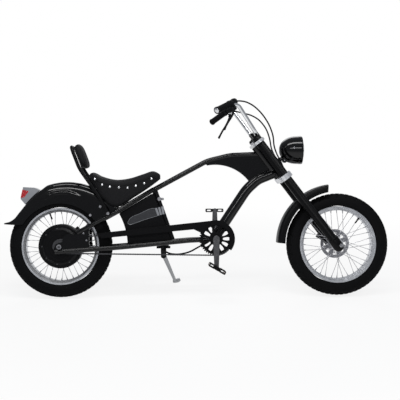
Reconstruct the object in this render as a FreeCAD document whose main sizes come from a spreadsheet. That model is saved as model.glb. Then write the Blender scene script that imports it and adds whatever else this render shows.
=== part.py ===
import FreeCAD, Part
import math
import os
from FreeCAD import Placement, Rotation, Vector
import Sketcher

# An electric chopper bicycle leaning on its side stand.
# Millimetres. The frame of the bicycle is X forward, Y to its left and Z up, with its zero on the rear axle.
# The whole bicycle then leans to its left and stands on the floor at z = 0.

doc = FreeCAD.newDocument("electric_chopper_bicycle")
sheet = doc.addObject("Spreadsheet::Sheet", "sizes")


class Size:
    """A number together with the spreadsheet expression that gives it."""

    def __init__(self, value, text):
        self.value = float(value)
        self.text = text

    def __add__(self, other):
        other = as_size(other)
        return Size(self.value + other.value, f"({self.text} + {other.text})")

    def __sub__(self, other):
        other = as_size(other)
        return Size(self.value - other.value, f"({self.text} - {other.text})")

    def __mul__(self, other):
        other = as_size(other)
        return Size(self.value * other.value, f"({self.text} * {other.text})")

    def __truediv__(self, other):
        other = as_size(other)
        return Size(self.value / other.value, f"({self.text} / {other.text})")

    def __neg__(self):
        return Size(-self.value, f"(0 - {self.text})")

    def __rsub__(self, other):
        return as_size(other) - self

    def __radd__(self, other):
        return as_size(other) + self

    def __rmul__(self, other):
        return as_size(other) * self

    def __float__(self):
        return self.value


def as_size(number):
    """Gives any number as a Size."""
    return number if isinstance(number, Size) else Size(number, f"{float(number):g}")


def size(alias, number):
    """Writes one driving size into the next row of the spreadsheet."""
    size.row += 1
    sheet.set(f"A{size.row}", alias.replace("_", " "))
    sheet.set(f"B{size.row}", str(number))
    sheet.setAlias(f"B{size.row}", alias)
    return Size(number, f"<<sizes>>.{alias}")


size.row = 0

# ---------------------------------------------------------------- driving sizes

wheelbase = size("wheelbase", 1512)
lean_angle = size("lean_angle", 12)
rake_angle = size("rake_angle", 37)

tyre_diameter = size("tyre_diameter", 560)
tyre_section = size("tyre_section", 98)
tyre_wall = size("tyre_wall", 4.5)
rim_lip_diameter = size("rim_lip_diameter", 418)
rim_depth = size("rim_depth", 22)
rim_width = size("rim_width", 76)
rim_wall = size("rim_wall", 3)
spoke_diameter = size("spoke_diameter", 2.6)
spoke_count = size("spoke_count", 36)
disc_diameter = size("disc_diameter", 160)
disc_thickness = size("disc_thickness", 1.8)

axle_diameter_front = size("axle_diameter_front", 12)
axle_diameter_rear = size("axle_diameter_rear", 14)
front_flange_diameter = size("front_flange_diameter", 60)
front_barrel_diameter = size("front_barrel_diameter", 34)
front_hub_half = size("front_hub_half", 62)
front_disc_place = size("front_disc_place", 58)
motor_diameter = size("motor_diameter", 240)
motor_half_width = size("motor_half_width", 42)
motor_cover_rise = size("motor_cover_rise", 10)
rear_hub_half = size("rear_hub_half", 66)
rear_disc_place = size("rear_disc_place", 57)
hub_boss_diameter = size("hub_boss_diameter", 24)
wheel_seat = size("wheel_seat", 20)
axle_stub = size("axle_stub", 15)

bracket_forward = size("bracket_forward", 844)
bracket_height = size("bracket_height", 36)
shell_diameter = size("shell_diameter", 46)
shell_half_width = size("shell_half_width", 50)
spindle_diameter = size("spindle_diameter", 20)
crank_length = size("crank_length", 152)
crank_place = size("crank_place", 92)
crank_thickness = size("crank_thickness", 14)
pedal_place = size("pedal_place", 152)
pedal_width = size("pedal_width", 88)
pedal_length = size("pedal_length", 100)
pedal_height = size("pedal_height", 20)
pedal_pin_diameter = size("pedal_pin_diameter", 9)
near_pedal_tilt = size("near_pedal_tilt", 30)

chain_pitch = size("chain_pitch", 12.7)
ring_teeth = size("ring_teeth", 44)
sprocket_teeth = size("sprocket_teeth", 18)
chain_place = size("chain_place", 57)
chain_width = size("chain_width", 8)
chain_height = size("chain_height", 8.5)
ring_thickness = size("ring_thickness", 4)
ring_slots = size("ring_slots", 12)
guard_place = size("guard_place", 74)
guard_thickness = size("guard_thickness", 2.5)
guard_band = size("guard_band", 17)
guard_reach = size("guard_reach", 8)

seat_tube_diameter = size("seat_tube_diameter", 30)
top_tube_diameter = size("top_tube_diameter", 28)
down_tube_diameter = size("down_tube_diameter", 58)
head_tube_diameter = size("head_tube_diameter", 52)
steerer_diameter = size("steerer_diameter", 28.6)
gusset_thickness = size("gusset_thickness", 22)
chainstay_diameter = size("chainstay_diameter", 27)
seatstay_diameter = size("seatstay_diameter", 25)
stay_place = size("stay_place", 78)
dropout_thickness = size("dropout_thickness", 8)

leg_diameter = size("leg_diameter", 49)
leg_foot_diameter = size("leg_foot_diameter", 57)
leg_place = size("leg_place", 100)
leg_setback = size("leg_setback", 12)
leg_drop = size("leg_drop", 22)
steer_offset = size("steer_offset", 30)
lower_clamp_place = size("lower_clamp_place", 472)
lower_clamp_thickness = size("lower_clamp_thickness", 28)
upper_clamp_place = size("upper_clamp_place", 710)
upper_clamp_thickness = size("upper_clamp_thickness", 16)
headset_gap = size("headset_gap", 2)

bar_diameter = size("bar_diameter", 22.2)
bar_clamp_place = size("bar_clamp_place", 36)
grip_diameter = size("grip_diameter", 34)
grip_length = size("grip_length", 128)

saddle_half_width = size("saddle_half_width", 92)
backrest_width = size("backrest_width", 200)
backrest_length = size("backrest_length", 138)
backrest_thickness = size("backrest_thickness", 41)
backrest_tilt = size("backrest_tilt", 20.6)
sissy_diameter = size("sissy_diameter", 19)
sissy_place = size("sissy_place", 104)
mudguard_half_width = size("mudguard_half_width", 58)
mudguard_wall = size("mudguard_wall", 3)
mudguard_radius = size("mudguard_radius", 345)
skirt_radius = size("skirt_radius", 232)
front_guard_radius = size("front_guard_radius", 333)
front_guard_depth = size("front_guard_depth", 42)

battery_half_width = size("battery_half_width", 38)
battery_arc_radius = size("battery_arc_radius", 363)
lamp_diameter = size("lamp_diameter", 155)
lamp_length = size("lamp_length", 125)
tail_lamp_half_width = size("tail_lamp_half_width", 42)

stand_diameter = size("stand_diameter", 20)
stand_pin_diameter = size("stand_pin_diameter", 10)
stand_reach = size("stand_reach", 246)

running_gap = size("running_gap", 0.05)
soft_gap = size("soft_gap", 0.3)
moving_gap = size("moving_gap", 5.5)
brake_hose_diameter = size("brake_hose_diameter", 6)
cable_bundle_diameter = size("cable_bundle_diameter", 9)
bar_cable_diameter = size("bar_cable_diameter", 8)

doc.recompute()

# ---------------------------------------------------------------- where the bicycle stands

lean = math.radians(lean_angle.value)
tyre_ring = (tyre_diameter - tyre_section) / 2
axle_height = tyre_ring.value * math.cos(lean) + tyre_section.value / 2
contact_shift = tyre_ring.value * math.sin(lean)
LEAN = Placement(Vector(0, contact_shift, axle_height), Rotation(Vector(1, 0, 0), -lean_angle.value))
ALONG_Y = Rotation(Vector(1, 0, 0), -90)


def floor_z(lateral):
    """Height in the bicycle's own frame of the floor under a point that far to its left."""
    return (lateral * math.sin(lean) - axle_height) / math.cos(lean)


# ---------------------------------------------------------------- ways of making pieces


def bind(owner, prop, amount):
    """Sets a property from the spreadsheet, or as a plain number if it has no cell."""
    if isinstance(amount, Size):
        owner.setExpression(prop, amount.text)
    else:
        setattr(owner, prop, amount)


def label(piece, name, placement=Placement()):
    """Names a finished sub-part and leans it with the bicycle."""
    piece.Label = name
    piece.Placement = LEAN * placement
    finished.append(piece)
    return piece


finished = []


def helper(kind, name):
    """Adds a named construction object."""
    return doc.addObject(kind, name)


def rod(name, start, end, diameter):
    """A round bar from one point to another."""
    start, end = Vector(*start), Vector(*end)
    bar = helper("Part::Cylinder", name)
    bind(bar, "Radius", as_size(diameter) / 2)
    bar.Height = (end - start).Length
    bar.Placement = Placement(start, Rotation(Vector(0, 0, 1), end - start))
    return bar


def cross_rod(name, forward, up, inner, outer, diameter):
    """A round bar across the bicycle, from one lateral place to another."""
    return rod(name, (forward, float(inner), up), (forward, float(outer), up), diameter)


def block(name, centre, length, width, height, rotation=Rotation()):
    """A box about its centre."""
    box = helper("Part::Box", name)
    bind(box, "Length", length)
    bind(box, "Width", width)
    bind(box, "Height", height)
    half = Vector(float(length) / 2, float(width) / 2, float(height) / 2)
    box.Placement = Placement(Vector(*centre) - rotation.multVec(half), rotation)
    return box


def union(name, pieces):
    """One solid from several."""
    joined = helper("Part::MultiFuse", name)
    joined.Shapes = pieces
    joined.Refine = True
    return joined


def group(name, pieces):
    """Several separate solids in one sub-part."""
    together = helper("Part::Compound", name)
    together.Links = pieces
    return together


def less(name, base, tools):
    """A solid with others taken away from it."""
    tool = tools[0] if len(tools) == 1 else union(name + "_tool", tools)
    cut = helper("Part::Cut", name)
    cut.Base = base
    cut.Tool = tool
    return cut


def shared(name, first, second):
    """What two solids have in common."""
    common = helper("Part::Common", name)
    common.Base = first
    common.Tool = second
    return common


def rounded_path(points, radii):
    """A wire of straight runs joined by tangent arcs, one radius for each inner point."""
    points = [Vector(*p) for p in points]
    edges = []
    start = points[0]
    for corner, following, radius in zip(points[1:-1], points[2:], radii):
        back = (start - corner).normalize()
        ahead = (following - corner).normalize()
        half_turn = (math.pi - back.getAngle(ahead)) / 2
        reach = radius * math.tan(half_turn)
        first, last = corner + back * reach, corner + ahead * reach
        bisector = (back + ahead).normalize()
        middle = corner + bisector * (radius / math.cos(half_turn) - radius)
        edges.append(Part.LineSegment(start, first).toShape())
        edges.append(Part.Arc(first, middle, last).toShape())
        start = last
    edges.append(Part.LineSegment(start, points[-1]).toShape())
    return Part.Wire(edges)


def cord_radii(points):
    """The largest arcs that a cord's runs allow: 0.45 of the shorter run over the tangent of half a turn."""
    points = [Vector(*p) for p in points]
    radii = []
    for before, corner, following in zip(points, points[1:], points[2:]):
        runs = (corner - before, following - corner)
        half_turn = runs[0].getAngle(runs[1]) / 2
        radii.append(0.45 * min(run.Length for run in runs) / math.tan(half_turn))
    return radii


def bent_tube(name, points, radii, diameter):
    """A round bar along straight runs and tangent arcs."""
    path = helper("Part::Feature", name + "_path")
    path.Shape = rounded_path(points, radii)
    ring = helper("Part::Circle", name + "_ring")
    bind(ring, "Radius", as_size(diameter) / 2)
    start, following = Vector(*points[0]), Vector(*points[1])
    ring.Placement = Placement(start, Rotation(Vector(0, 0, 1), following - start))
    swept = helper("Part::Sweep", name)
    swept.Sections = [ring]
    swept.Spine = path
    swept.Solid = True
    return swept


def cord(name, points, diameter):
    """A cable that its clips hold, with arcs as large as its runs allow."""
    radii = cord_radii(points)
    print(name, "arc radii", [round(r) for r in radii])
    return bent_tube(name, points, radii, diameter)


def new_sketch(body, role):
    """An empty sketch on one of the body's own origin planes."""
    sketch = body.newObject("Sketcher::SketchObject", body.Name + "_sketch")
    plane = next(f for f in body.Origin.OriginFeatures if f.Role == role)
    sketch.AttachmentSupport = [(plane, "")]
    sketch.MapMode = "FlatFace"
    return sketch


def place_vertex(sketch, line, vertex, across, up):
    """Holds one end of a line at its two coordinates from the sketch's origin."""
    for kind, axis_line, amount in (("DistanceX", -2, across), ("DistanceY", -1, up)):
        amount = as_size(amount)
        if amount.value == 0:
            sketch.addConstraint(Sketcher.Constraint("PointOnObject", line, vertex, axis_line))
            continue
        index = sketch.addConstraint(Sketcher.Constraint(kind, -1, 1, line, vertex, amount.value))
        if "sizes" in amount.text:
            sketch.setExpression(f"Constraints[{index}]", amount.text)


def draw_outline(sketch, corners):
    """A closed outline. A corner is (x, y), or (x, y, through) when an arc through that point leads to it."""
    spots = [Vector(float(c[0]), float(c[1]), 0) for c in corners]
    lines = []
    turns_back = []
    for i, corner in enumerate(corners):
        before, here = spots[i - 1], spots[i]
        if len(corner) > 2:
            through = Vector(float(corner[2][0]), float(corner[2][1]), 0)
            curve = Part.Arc(before, through, here).toShape().Curve
            circle = Part.Circle(curve.Center, Vector(0, 0, 1), curve.Radius)
            curve = Part.ArcOfCircle(circle, *sorted_span(circle, before, through, here))
            turns_back.append(not curve.EndPoint.isEqual(here, 1e-4))
        else:
            curve = Part.LineSegment(before, here)
            turns_back.append(False)
        lines.append(sketch.addGeometry(curve, False))
    for i, corner in enumerate(corners):
        following = (i + 1) % len(lines)
        end = 1 if turns_back[i] else 2
        start = 2 if turns_back[following] else 1
        sketch.addConstraint(Sketcher.Constraint("Coincident", lines[i], end, lines[following], start))
        place_vertex(sketch, lines[i], end, corner[0], corner[1])
    for line, corner in zip(lines, corners):
        if len(corner) > 2:
            radius = sketch.Geometry[line].Radius
            sketch.addConstraint(Sketcher.Constraint("Radius", line, radius))


def sorted_span(circle, before, through, here):
    """The two parameters of an anticlockwise arc that holds the middle point."""
    first, middle, last = (circle.parameter(spot) for spot in (before, through, here))
    if (middle - first) % (2 * math.pi) < (last - first) % (2 * math.pi):
        return first, last
    return last, first


def turned(name, corners):
    """A body of revolution about its own Z axis. The corners are (radius, place along the axis)."""
    body = helper("PartDesign::Body", name)
    sketch = new_sketch(body, "XZ_Plane")
    draw_outline(sketch, corners)
    revolution = body.newObject("PartDesign::Revolution", name + "_revolution")
    revolution.Profile = sketch
    revolution.ReferenceAxis = (sketch, ["V_Axis"])
    revolution.Angle = 360
    return body


def plate(name, corners, thickness, lateral=0):
    """A flat plate in the bicycle's side view, centred on a lateral place."""
    body = helper("PartDesign::Body", name)
    sketch = new_sketch(body, "XZ_Plane")
    draw_outline(sketch, corners)
    pad = body.newObject("PartDesign::Pad", name + "_pad")
    pad.Profile = sketch
    pad.Midplane = True
    bind(pad, "Length", as_size(thickness))
    body.Placement = Placement(Vector(0, float(lateral), 0), Rotation())
    return body


def wheel_place(forward):
    """Turns a body about its Z axis into a wheel about an axle at that place."""
    return Placement(Vector(float(forward), 0, 0), ALONG_Y)


SIDES = (("right", -1), ("left", 1))

# ---------------------------------------------------------------- the fork's own line

rake = math.radians(rake_angle.value)
FORK_UP = Vector(-math.sin(rake), 0, math.cos(rake))
FORK_BACK = Vector(-math.cos(rake), 0, -math.sin(rake))
FORK_TURN = Rotation(Vector(0, 1, 0), -rake_angle.value)
FRONT_AXLE = Vector(wheelbase.value, 0, 0)


def on_leg(along, lateral=0, back=0):
    """A point along the fork's legs from the front axle."""
    spot = FRONT_AXLE + FORK_UP * float(along) + FORK_BACK * float(back)
    return (spot.x, float(lateral), spot.z)


def in_leg(along, lateral):
    """A point on a leg's own axis, which lies a little behind the front axle."""
    return on_leg(along, lateral, leg_setback)


def on_steerer(along):
    """A point along the steering axis."""
    return on_leg(along, 0, steer_offset)


# ---------------------------------------------------------------- wheels


def tyre(prefix, forward):
    """A hollow tyre: a round section that closes onto the two beads."""
    ring = tyre_ring
    outer, inner = tyre_section / 2, tyre_section / 2 - tyre_wall
    bead_half = rim_width / 2 - rim_wall
    lip = rim_lip_diameter / 2
    bead = lip - 6

    def at(radius, section):
        return math.sqrt(section.value ** 2 - (ring.value - radius) ** 2)

    shoulder, inside = lip.value + 2, lip.value + 10
    right, inner_right = at(shoulder, outer), at(inside, inner)
    profile = [
        (shoulder, right, (ring + outer, 0)),
        (lip + 1.5, bead_half - 0.3),
        (bead, bead_half - 0.3),
        (bead, bead_half - 6),
        (bead + 3, bead_half - 6),
        (inside, inner_right),
        (inside, -inner_right, (ring + inner, 0)),
        (bead + 3, 6 - bead_half),
        (bead, 6 - bead_half),
        (bead, 0.3 - bead_half),
        (lip + 1.5, 0.3 - bead_half),
        (shoulder, -right),
    ]
    label(turned(prefix + "_tyre_body", profile), prefix + "_tyre", wheel_place(forward))


def rim(prefix, forward):
    """A wide double-lipped rim."""
    lip, half = rim_lip_diameter / 2, rim_width / 2
    seat = lip - 6
    bed = lip - rim_depth
    profile = [
        (lip, half),
        (lip, half - rim_wall),
        (seat, half - rim_wall),
        (seat, half - 14),
        (seat - 7, half - 18),
        (seat - 7, 18 - half),
        (seat, 14 - half),
        (seat, rim_wall - half),
        (lip, rim_wall - half),
        (lip, -half),
        (seat - 3, -half),
        (bed, 16 - half),
        (bed, half - 16),
        (seat - 3, half),
    ]
    label(turned(prefix + "_rim_body", profile), prefix + "_rim", wheel_place(forward))


def spokes(prefix, forward, flange_radius, flange_places, crossing):
    """Straight spokes from both hub flanges to the rim's bed. Crossing is how far round a spoke runs."""
    bed = (rim_lip_diameter / 2 - rim_depth).value
    count = int(spoke_count.value)
    pieces = []
    for number in range(count):
        side = flange_places[number % 2]
        rim_angle = 2 * math.pi * number / count
        lean_way = 1 if (number // 2) % 2 else -1
        hub_angle = rim_angle + lean_way * crossing
        slant = math.atan2(bed * math.sin(crossing), bed * math.cos(crossing) - flange_radius)
        foot_radius = flange_radius + spoke_diameter.value / 2 * math.sin(slant)
        foot = Vector(foot_radius * math.cos(hub_angle), side, foot_radius * math.sin(hub_angle))
        outwards = Vector(math.cos(rim_angle), 0, math.sin(rim_angle))
        head = outwards * bed + Vector(0, math.copysign(4, side), 0)
        run = (head - foot).normalize()
        end_sag = spoke_diameter.value / 2 * math.sin(run.getAngle(outwards))
        pieces.append(rod(f"{prefix}_spoke_{number}", foot, head - run * end_sag, spoke_diameter))
    place = Placement(Vector(float(forward), 0, 0), Rotation())
    label(group(prefix + "_spokes_set", pieces), prefix + "_spokes", place)


def brake_disc(prefix, forward, place, bore_radius):
    """A brake disc with a ring of slots."""
    body = helper("PartDesign::Body", prefix + "_disc_body")
    sketch = new_sketch(body, "XY_Plane")
    for radius in (disc_diameter / 2, as_size(bore_radius)):
        index = sketch.addGeometry(Part.Circle(Vector(), Vector(0, 0, 1), radius.value), False)
        sketch.addConstraint(Sketcher.Constraint("Coincident", index, 3, -1, 1))
        ring = sketch.addConstraint(Sketcher.Constraint("Radius", index, radius.value))
        sketch.setExpression(f"Constraints[{ring}]", radius.text)
    pad = body.newObject("PartDesign::Pad", prefix + "_disc_pad")
    pad.Profile = sketch
    bind(pad, "Length", disc_thickness)
    slot = new_sketch(body, "XY_Plane")
    near, far = disc_diameter / 2 - 42, disc_diameter / 2 - 18
    draw_outline(slot, [(near, -6), (far, -10), (far, 10), (near, 6)])
    pocket = body.newObject("PartDesign::Pocket", prefix + "_disc_pocket")
    pocket.Profile = slot
    pocket.Type = "ThroughAll"
    pocket.Midplane = True
    doc.recompute()
    pattern = body.newObject("PartDesign::PolarPattern", prefix + "_disc_pattern")
    pattern.Originals = [pocket]
    pattern.Axis = (sketch, ["N_Axis"])
    pattern.Occurrences = 8
    body.Tip = pattern
    placement = Placement(Vector(float(forward), float(place), 0), ALONG_Y)
    label(body, prefix + "_brake_disc", placement)


def front_hub():
    """A slim hub with two flanges and a seat for the disc, bored for its axle."""
    bore = axle_diameter_front / 2 + running_gap
    barrel, flange = front_barrel_diameter / 2, front_flange_diameter / 2
    half, disc = front_hub_half, front_disc_place
    profile = [
        (bore, -half),
        (barrel - 4, -half),
        (barrel - 4, -38),
        (flange, -38),
        (flange, -34),
        (barrel, -34),
        (barrel, 34),
        (flange, 34),
        (flange, 38),
        (barrel + 2, 38),
        (barrel + 2, disc),
        (barrel - 4, disc),
        (barrel - 4, half),
        (bore, half),
    ]
    label(turned("front_hub_body", profile), "front_hub", wheel_place(wheelbase))


def hub_motor():
    """A hub motor: a drum with raised covers, a freewheel seat on the right and a disc seat on the left."""
    bore = axle_diameter_rear / 2 + running_gap
    drum, half, rise = motor_diameter / 2, motor_half_width, motor_cover_rise
    end, boss = rear_hub_half, hub_boss_diameter / 2
    disc_outer = rear_disc_place + disc_thickness
    profile = [
        (bore, -end),
        (boss, -end),
        (boss, -chain_place - ring_thickness / 2),
        (wheel_seat, -chain_place - ring_thickness / 2),
        (wheel_seat, ring_thickness / 2 - chain_place),
        (wheel_seat + 5, ring_thickness / 2 - chain_place),
        (wheel_seat + 5, -half - rise),
        (drum - 30, -half - rise),
        (drum - 18, -half),
        (drum - 7, -half),
        (drum - 7, 8 - half),
        (drum, 10 - half),
        (drum, half - 10),
        (drum - 7, half - 8),
        (drum - 7, half),
        (drum - 18, half),
        (drum - 30, half + rise),
        (30, half + rise),
        (30, rear_disc_place),
        (wheel_seat, rear_disc_place),
        (wheel_seat, disc_outer),
        (boss, disc_outer),
        (boss, end),
        (bore, end),
    ]
    label(turned("hub_motor_body", profile), "hub_motor", wheel_place(0))


def toothless_radius(teeth):
    """Pitch radius of a chain wheel."""
    return chain_pitch.value / (2 * math.sin(math.pi / teeth.value))


RING_PITCH = toothless_radius(ring_teeth)
SPROCKET_PITCH = toothless_radius(sprocket_teeth)
CHAIN_HALF = chain_height.value / 2


def chain_wheels():
    """The slotted chainring and the rear sprocket, whose rims lie just inside the chain."""
    rim_radius = RING_PITCH - CHAIN_HALF - soft_gap.value
    body = helper("PartDesign::Body", "chainring_body")
    sketch = new_sketch(body, "XY_Plane")
    for radius in (as_size(rim_radius), spindle_diameter / 2 + 6):
        index = sketch.addGeometry(Part.Circle(Vector(), Vector(0, 0, 1), radius.value), False)
        sketch.addConstraint(Sketcher.Constraint("Coincident", index, 3, -1, 1))
        ring = sketch.addConstraint(Sketcher.Constraint("Radius", index, radius.value))
        if "sizes" in radius.text:
            sketch.setExpression(f"Constraints[{ring}]", radius.text)
    pad = body.newObject("PartDesign::Pad", "chainring_pad")
    pad.Profile = sketch
    pad.Midplane = True
    bind(pad, "Length", ring_thickness)
    slot = new_sketch(body, "XY_Plane")
    draw_outline(slot, [(38, -4), (66, -7), (66, 7), (38, 4)])
    pocket = body.newObject("PartDesign::Pocket", "chainring_pocket")
    pocket.Profile = slot
    pocket.Type = "ThroughAll"
    pocket.Midplane = True
    doc.recompute()
    pattern = body.newObject("PartDesign::PolarPattern", "chainring_pattern")
    pattern.Originals = [pocket]
    pattern.Axis = (sketch, ["N_Axis"])
    bind(pattern, "Occurrences", ring_slots)
    body.Tip = pattern
    spot = Vector(bracket_forward.value, -chain_place.value, bracket_height.value)
    label(body, "chainring", Placement(spot, ALONG_Y))

    radius = SPROCKET_PITCH - CHAIN_HALF - soft_gap.value
    half = ring_thickness / 2
    profile = [(wheel_seat, -half), (radius, -half), (radius, half), (wheel_seat, half)]
    cog = turned("rear_sprocket_body", profile)
    label(cog, "rear_sprocket", Placement(Vector(0, -chain_place.value, 0), ALONG_Y))


for prefix, forward in (("rear", 0), ("front", wheelbase)):
    tyre(prefix, forward)
    rim(prefix, forward)
spokes("rear", 0, motor_diameter.value / 2, (-26, 26), math.radians(4))
spokes("front", wheelbase, front_flange_diameter.value / 2, (-36, 36), math.radians(62))
brake_disc("front", wheelbase, front_disc_place, front_barrel_diameter / 2 - 4)
brake_disc("rear", 0, rear_disc_place, wheel_seat)
front_hub()
hub_motor()
chain_wheels()

front_axle_reach = leg_place + 22
front_axle = cross_rod(
    "front_axle_bar", wheelbase.value, 0, -front_axle_reach, front_axle_reach, axle_diameter_front
)
rear_axle_reach = stay_place + 17 + axle_stub
rear_axle = cross_rod("rear_axle_bar", 0, 0, -rear_axle_reach, rear_axle_reach, axle_diameter_rear)

# ---------------------------------------------------------------- frame tubes

BRACKET = (bracket_forward.value, 0, bracket_height.value)
SEAT_TOP = (505, 0, 318)
SEAT_FOOT = (612, 0, 12)

seat_post = rod("seat_post_bar", SEAT_TOP, SEAT_FOOT, seat_tube_diameter)
head_outer = rod(
    "head_outer",
    on_steerer(lower_clamp_place + lower_clamp_thickness / 2 + headset_gap),
    on_steerer(upper_clamp_place - upper_clamp_thickness / 2 - headset_gap),
    head_tube_diameter,
)
steerer_bar = rod(
    "steerer_bar",
    on_steerer(lower_clamp_place - lower_clamp_thickness / 2),
    on_steerer(upper_clamp_place - upper_clamp_thickness / 2),
    steerer_diameter,
)
head_bore = rod(
    "head_bore",
    on_steerer(lower_clamp_place),
    on_steerer(upper_clamp_place),
    steerer_diameter + running_gap * 2,
)
shell_outer = cross_rod(
    "shell_outer", BRACKET[0], BRACKET[2], -shell_half_width, shell_half_width, shell_diameter
)
spindle_bore = cross_rod(
    "spindle_bore", BRACKET[0], BRACKET[2], -crank_place, crank_place, spindle_diameter + running_gap * 2
)

top_path = [SEAT_TOP[:2] + (SEAT_TOP[2] - 14,), (800, 0, 462), (928, 0, 492), on_steerer(646)]
top_bar = bent_tube("top_bar", top_path, [220, 260], top_tube_diameter)
down_path = [(836, 0, 36), (1014, 0, 302), (1076, 0, 358), on_steerer(520)]
down_bar = bent_tube("down_bar", down_path, [240, 130], down_tube_diameter)
gusset_corners = [
    (780, 452),
    (800, 436),
    (1030, 345, (937, 420)),
    (1075, 360),
    (1165, 405),
    (1103, 493),
    (1040, 494),
    (930, 488),
    (860, 472),
]
gusset_plate = plate("gusset_plate", gusset_corners, gusset_thickness)

stay_paths = {}
for side, way in SIDES:
    outer = way * stay_place.value
    bracket_end = (BRACKET[0], way * 30, 33)
    stay_paths["chain" + side] = [(-24, outer, -28), (332, outer, -4), (700, way * 38, 28), bracket_end]
    stay_paths["seat" + side] = [(96, outer, 74), (310, outer, 189), (SEAT_TOP[0] - 2, way * 17, 306)]
chain_stays = [
    bent_tube("chainstay_" + side, stay_paths["chain" + side], [400, 400], chainstay_diameter)
    for side, way in SIDES
]
seat_stays = [
    bent_tube("seatstay_" + side, stay_paths["seat" + side], [160], seatstay_diameter) for side, way in SIDES
]
stay_bridge = cross_rod("stay_bridge", SEAT_FOOT[0], 19, -44, 44, 24)

dropout_corners = [
    (-34, -22),
    (-16, -40),
    (30, -40),
    (70, -30),
    (150, -8),
    (160, 14, (163, 4)),
    (160, 92),
    (118, 92),
    (70, 66, (92, 68)),
    (16, 28, (30, 60)),
    (-20, 14, (4, 20)),
]
dropout_slab = plate("dropout_slab", dropout_corners, stay_place * 2 + dropout_thickness)
dropout_space = block("dropout_space", (60, 0, 26), 260, stay_place * 2 - dropout_thickness, 160)
axle_hole = cross_rod("axle_hole", 0, 0, -rear_axle_reach, rear_axle_reach, axle_diameter_rear)

label(less("head_tube_cut", head_outer, [head_bore]), "head_tube")
label(less("down_tube_cut", down_bar, [head_outer, shell_outer]), "down_tube")
label(less("top_tube_cut", top_bar, [head_outer, seat_post]), "top_tube")
label(less("gusset_cut", gusset_plate, [head_outer, down_bar, top_bar]), "frame_gusset")
label(less("shell_cut", shell_outer, [spindle_bore]), "bottom_bracket_shell")
label(less("seat_tube_cut", seat_post, [stay_bridge]), "seat_tube")
stays_joined = union("stays_joined", chain_stays + [stay_bridge])
label(less("chainstays_cut", stays_joined, [shell_outer, axle_hole]), "chainstays")
dropouts = less("dropouts", dropout_slab, [dropout_space])
uppers_joined = union("uppers_joined", seat_stays + [dropouts])
label(less("rear_stays_cut", uppers_joined, [seat_post, axle_hole] + chain_stays + [top_bar]), "rear_stays")

axle_pieces = [rear_axle]
for side, way in SIDES:
    inner_face = stay_place - dropout_thickness / 2
    outer_face = stay_place + dropout_thickness / 2
    nut_end = rear_axle_reach - axle_stub
    axle_pieces.append(cross_rod("axle_nut_" + side, 0, 0, way * outer_face, way * nut_end, 21))
    spacer_span = (way * (rear_hub_half + 0.5), way * inner_face)
    axle_pieces.append(cross_rod("axle_spacer_" + side, 0, 0, *spacer_span, hub_boss_diameter))
label(union("rear_axle_set", axle_pieces), "rear_axle")
label(group("front_axle_set", [front_axle]), "front_axle")

# ---------------------------------------------------------------- cranks, pedals and chain


def crank_end(way):
    """Where a crank's pedal pin lies: the right crank points down and the left one up."""
    return (BRACKET[0], way * pedal_place.value, BRACKET[2] + way * crank_length.value)


crank_pieces = [
    cross_rod(
        "crank_spindle",
        BRACKET[0],
        BRACKET[2],
        -crank_place - crank_thickness / 2,
        crank_place + crank_thickness / 2,
        spindle_diameter,
    )
]
for side, way in SIDES:
    middle = (BRACKET[0], way * crank_place.value, BRACKET[2] + way * crank_length.value / 2)
    crank_pieces.append(block("crank_bar_" + side, middle, 20, crank_thickness, crank_length))
    for where, up, diameter in (("boss", 0, 38), ("eye", way * crank_length.value, 26)):
        crank_pieces.append(
            cross_rod(
                f"crank_{where}_{side}",
                BRACKET[0],
                BRACKET[2] + up,
                way * (crank_place - crank_thickness / 2),
                way * (crank_place + crank_thickness / 2),
                diameter,
            )
        )
    forward, lateral, up = crank_end(way)
    pin_start = way * crank_place
    pin_stop = way * (pedal_place + pedal_width / 2 - 6)
    crank_pieces.append(cross_rod("pedal_pin_" + side, forward, up, pin_start, pin_stop, pedal_pin_diameter))
spider = cross_rod("spider", BRACKET[0], BRACKET[2], -crank_place, ring_thickness / 2 - chain_place, 64)
ring_space = cross_rod("ring_space", BRACKET[0], BRACKET[2], -chain_place - ring_thickness / 2, 0, 70)
crank_pieces.append(less("spider_cut", spider, [ring_space]))
ring_seat = cross_rod(
    "ring_seat", BRACKET[0], BRACKET[2], -crank_place, ring_thickness / 2 - chain_place, spindle_diameter + 12
)
crank_pieces.append(ring_seat)
label(union("cranks_joined", crank_pieces), "crank_arms")

for side, way in SIDES:
    forward, lateral, up = crank_end(way)
    tilt = Rotation(Vector(0, 1, 0), near_pedal_tilt.value if way < 0 else 0)
    tread = block(f"pedal_{side}_block", (0, 0, 0), pedal_length, pedal_width, pedal_height)
    bore = rod(f"pedal_{side}_bore", (0, -60, 0), (0, 60, 0), pedal_pin_diameter + running_gap * 2)
    place = Placement(Vector(forward, lateral, up), tilt)
    label(less(f"pedal_{side}_cut", tread, [bore]), "pedal_" + side, place)

chain_slope = math.atan2(RING_PITCH - SPROCKET_PITCH, math.hypot(BRACKET[0], BRACKET[2]))
line_angle = math.atan2(BRACKET[2], BRACKET[0])
UPPER_RUN = line_angle + chain_slope
LOWER_RUN = line_angle - chain_slope


def round_ring(angle, grow):
    """A point on the chainring's circle, grown by some distance."""
    radius = RING_PITCH + grow
    return (BRACKET[0] + radius * math.cos(angle), BRACKET[2] + radius * math.sin(angle))


def round_sprocket(angle, grow):
    """A point on the sprocket's circle, grown by some distance."""
    radius = SPROCKET_PITCH + grow
    return (radius * math.cos(angle), radius * math.sin(angle))


def chain_outline(grow):
    """The loop that the chain follows, grown outwards."""
    top, bottom = UPPER_RUN + math.pi / 2, LOWER_RUN - math.pi / 2
    return [
        round_sprocket(top, grow) + (round_sprocket(line_angle + math.pi, grow),),
        round_ring(top, grow),
        round_ring(bottom, grow) + (round_ring(line_angle, grow),),
        round_sprocket(bottom, grow),
    ]


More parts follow.
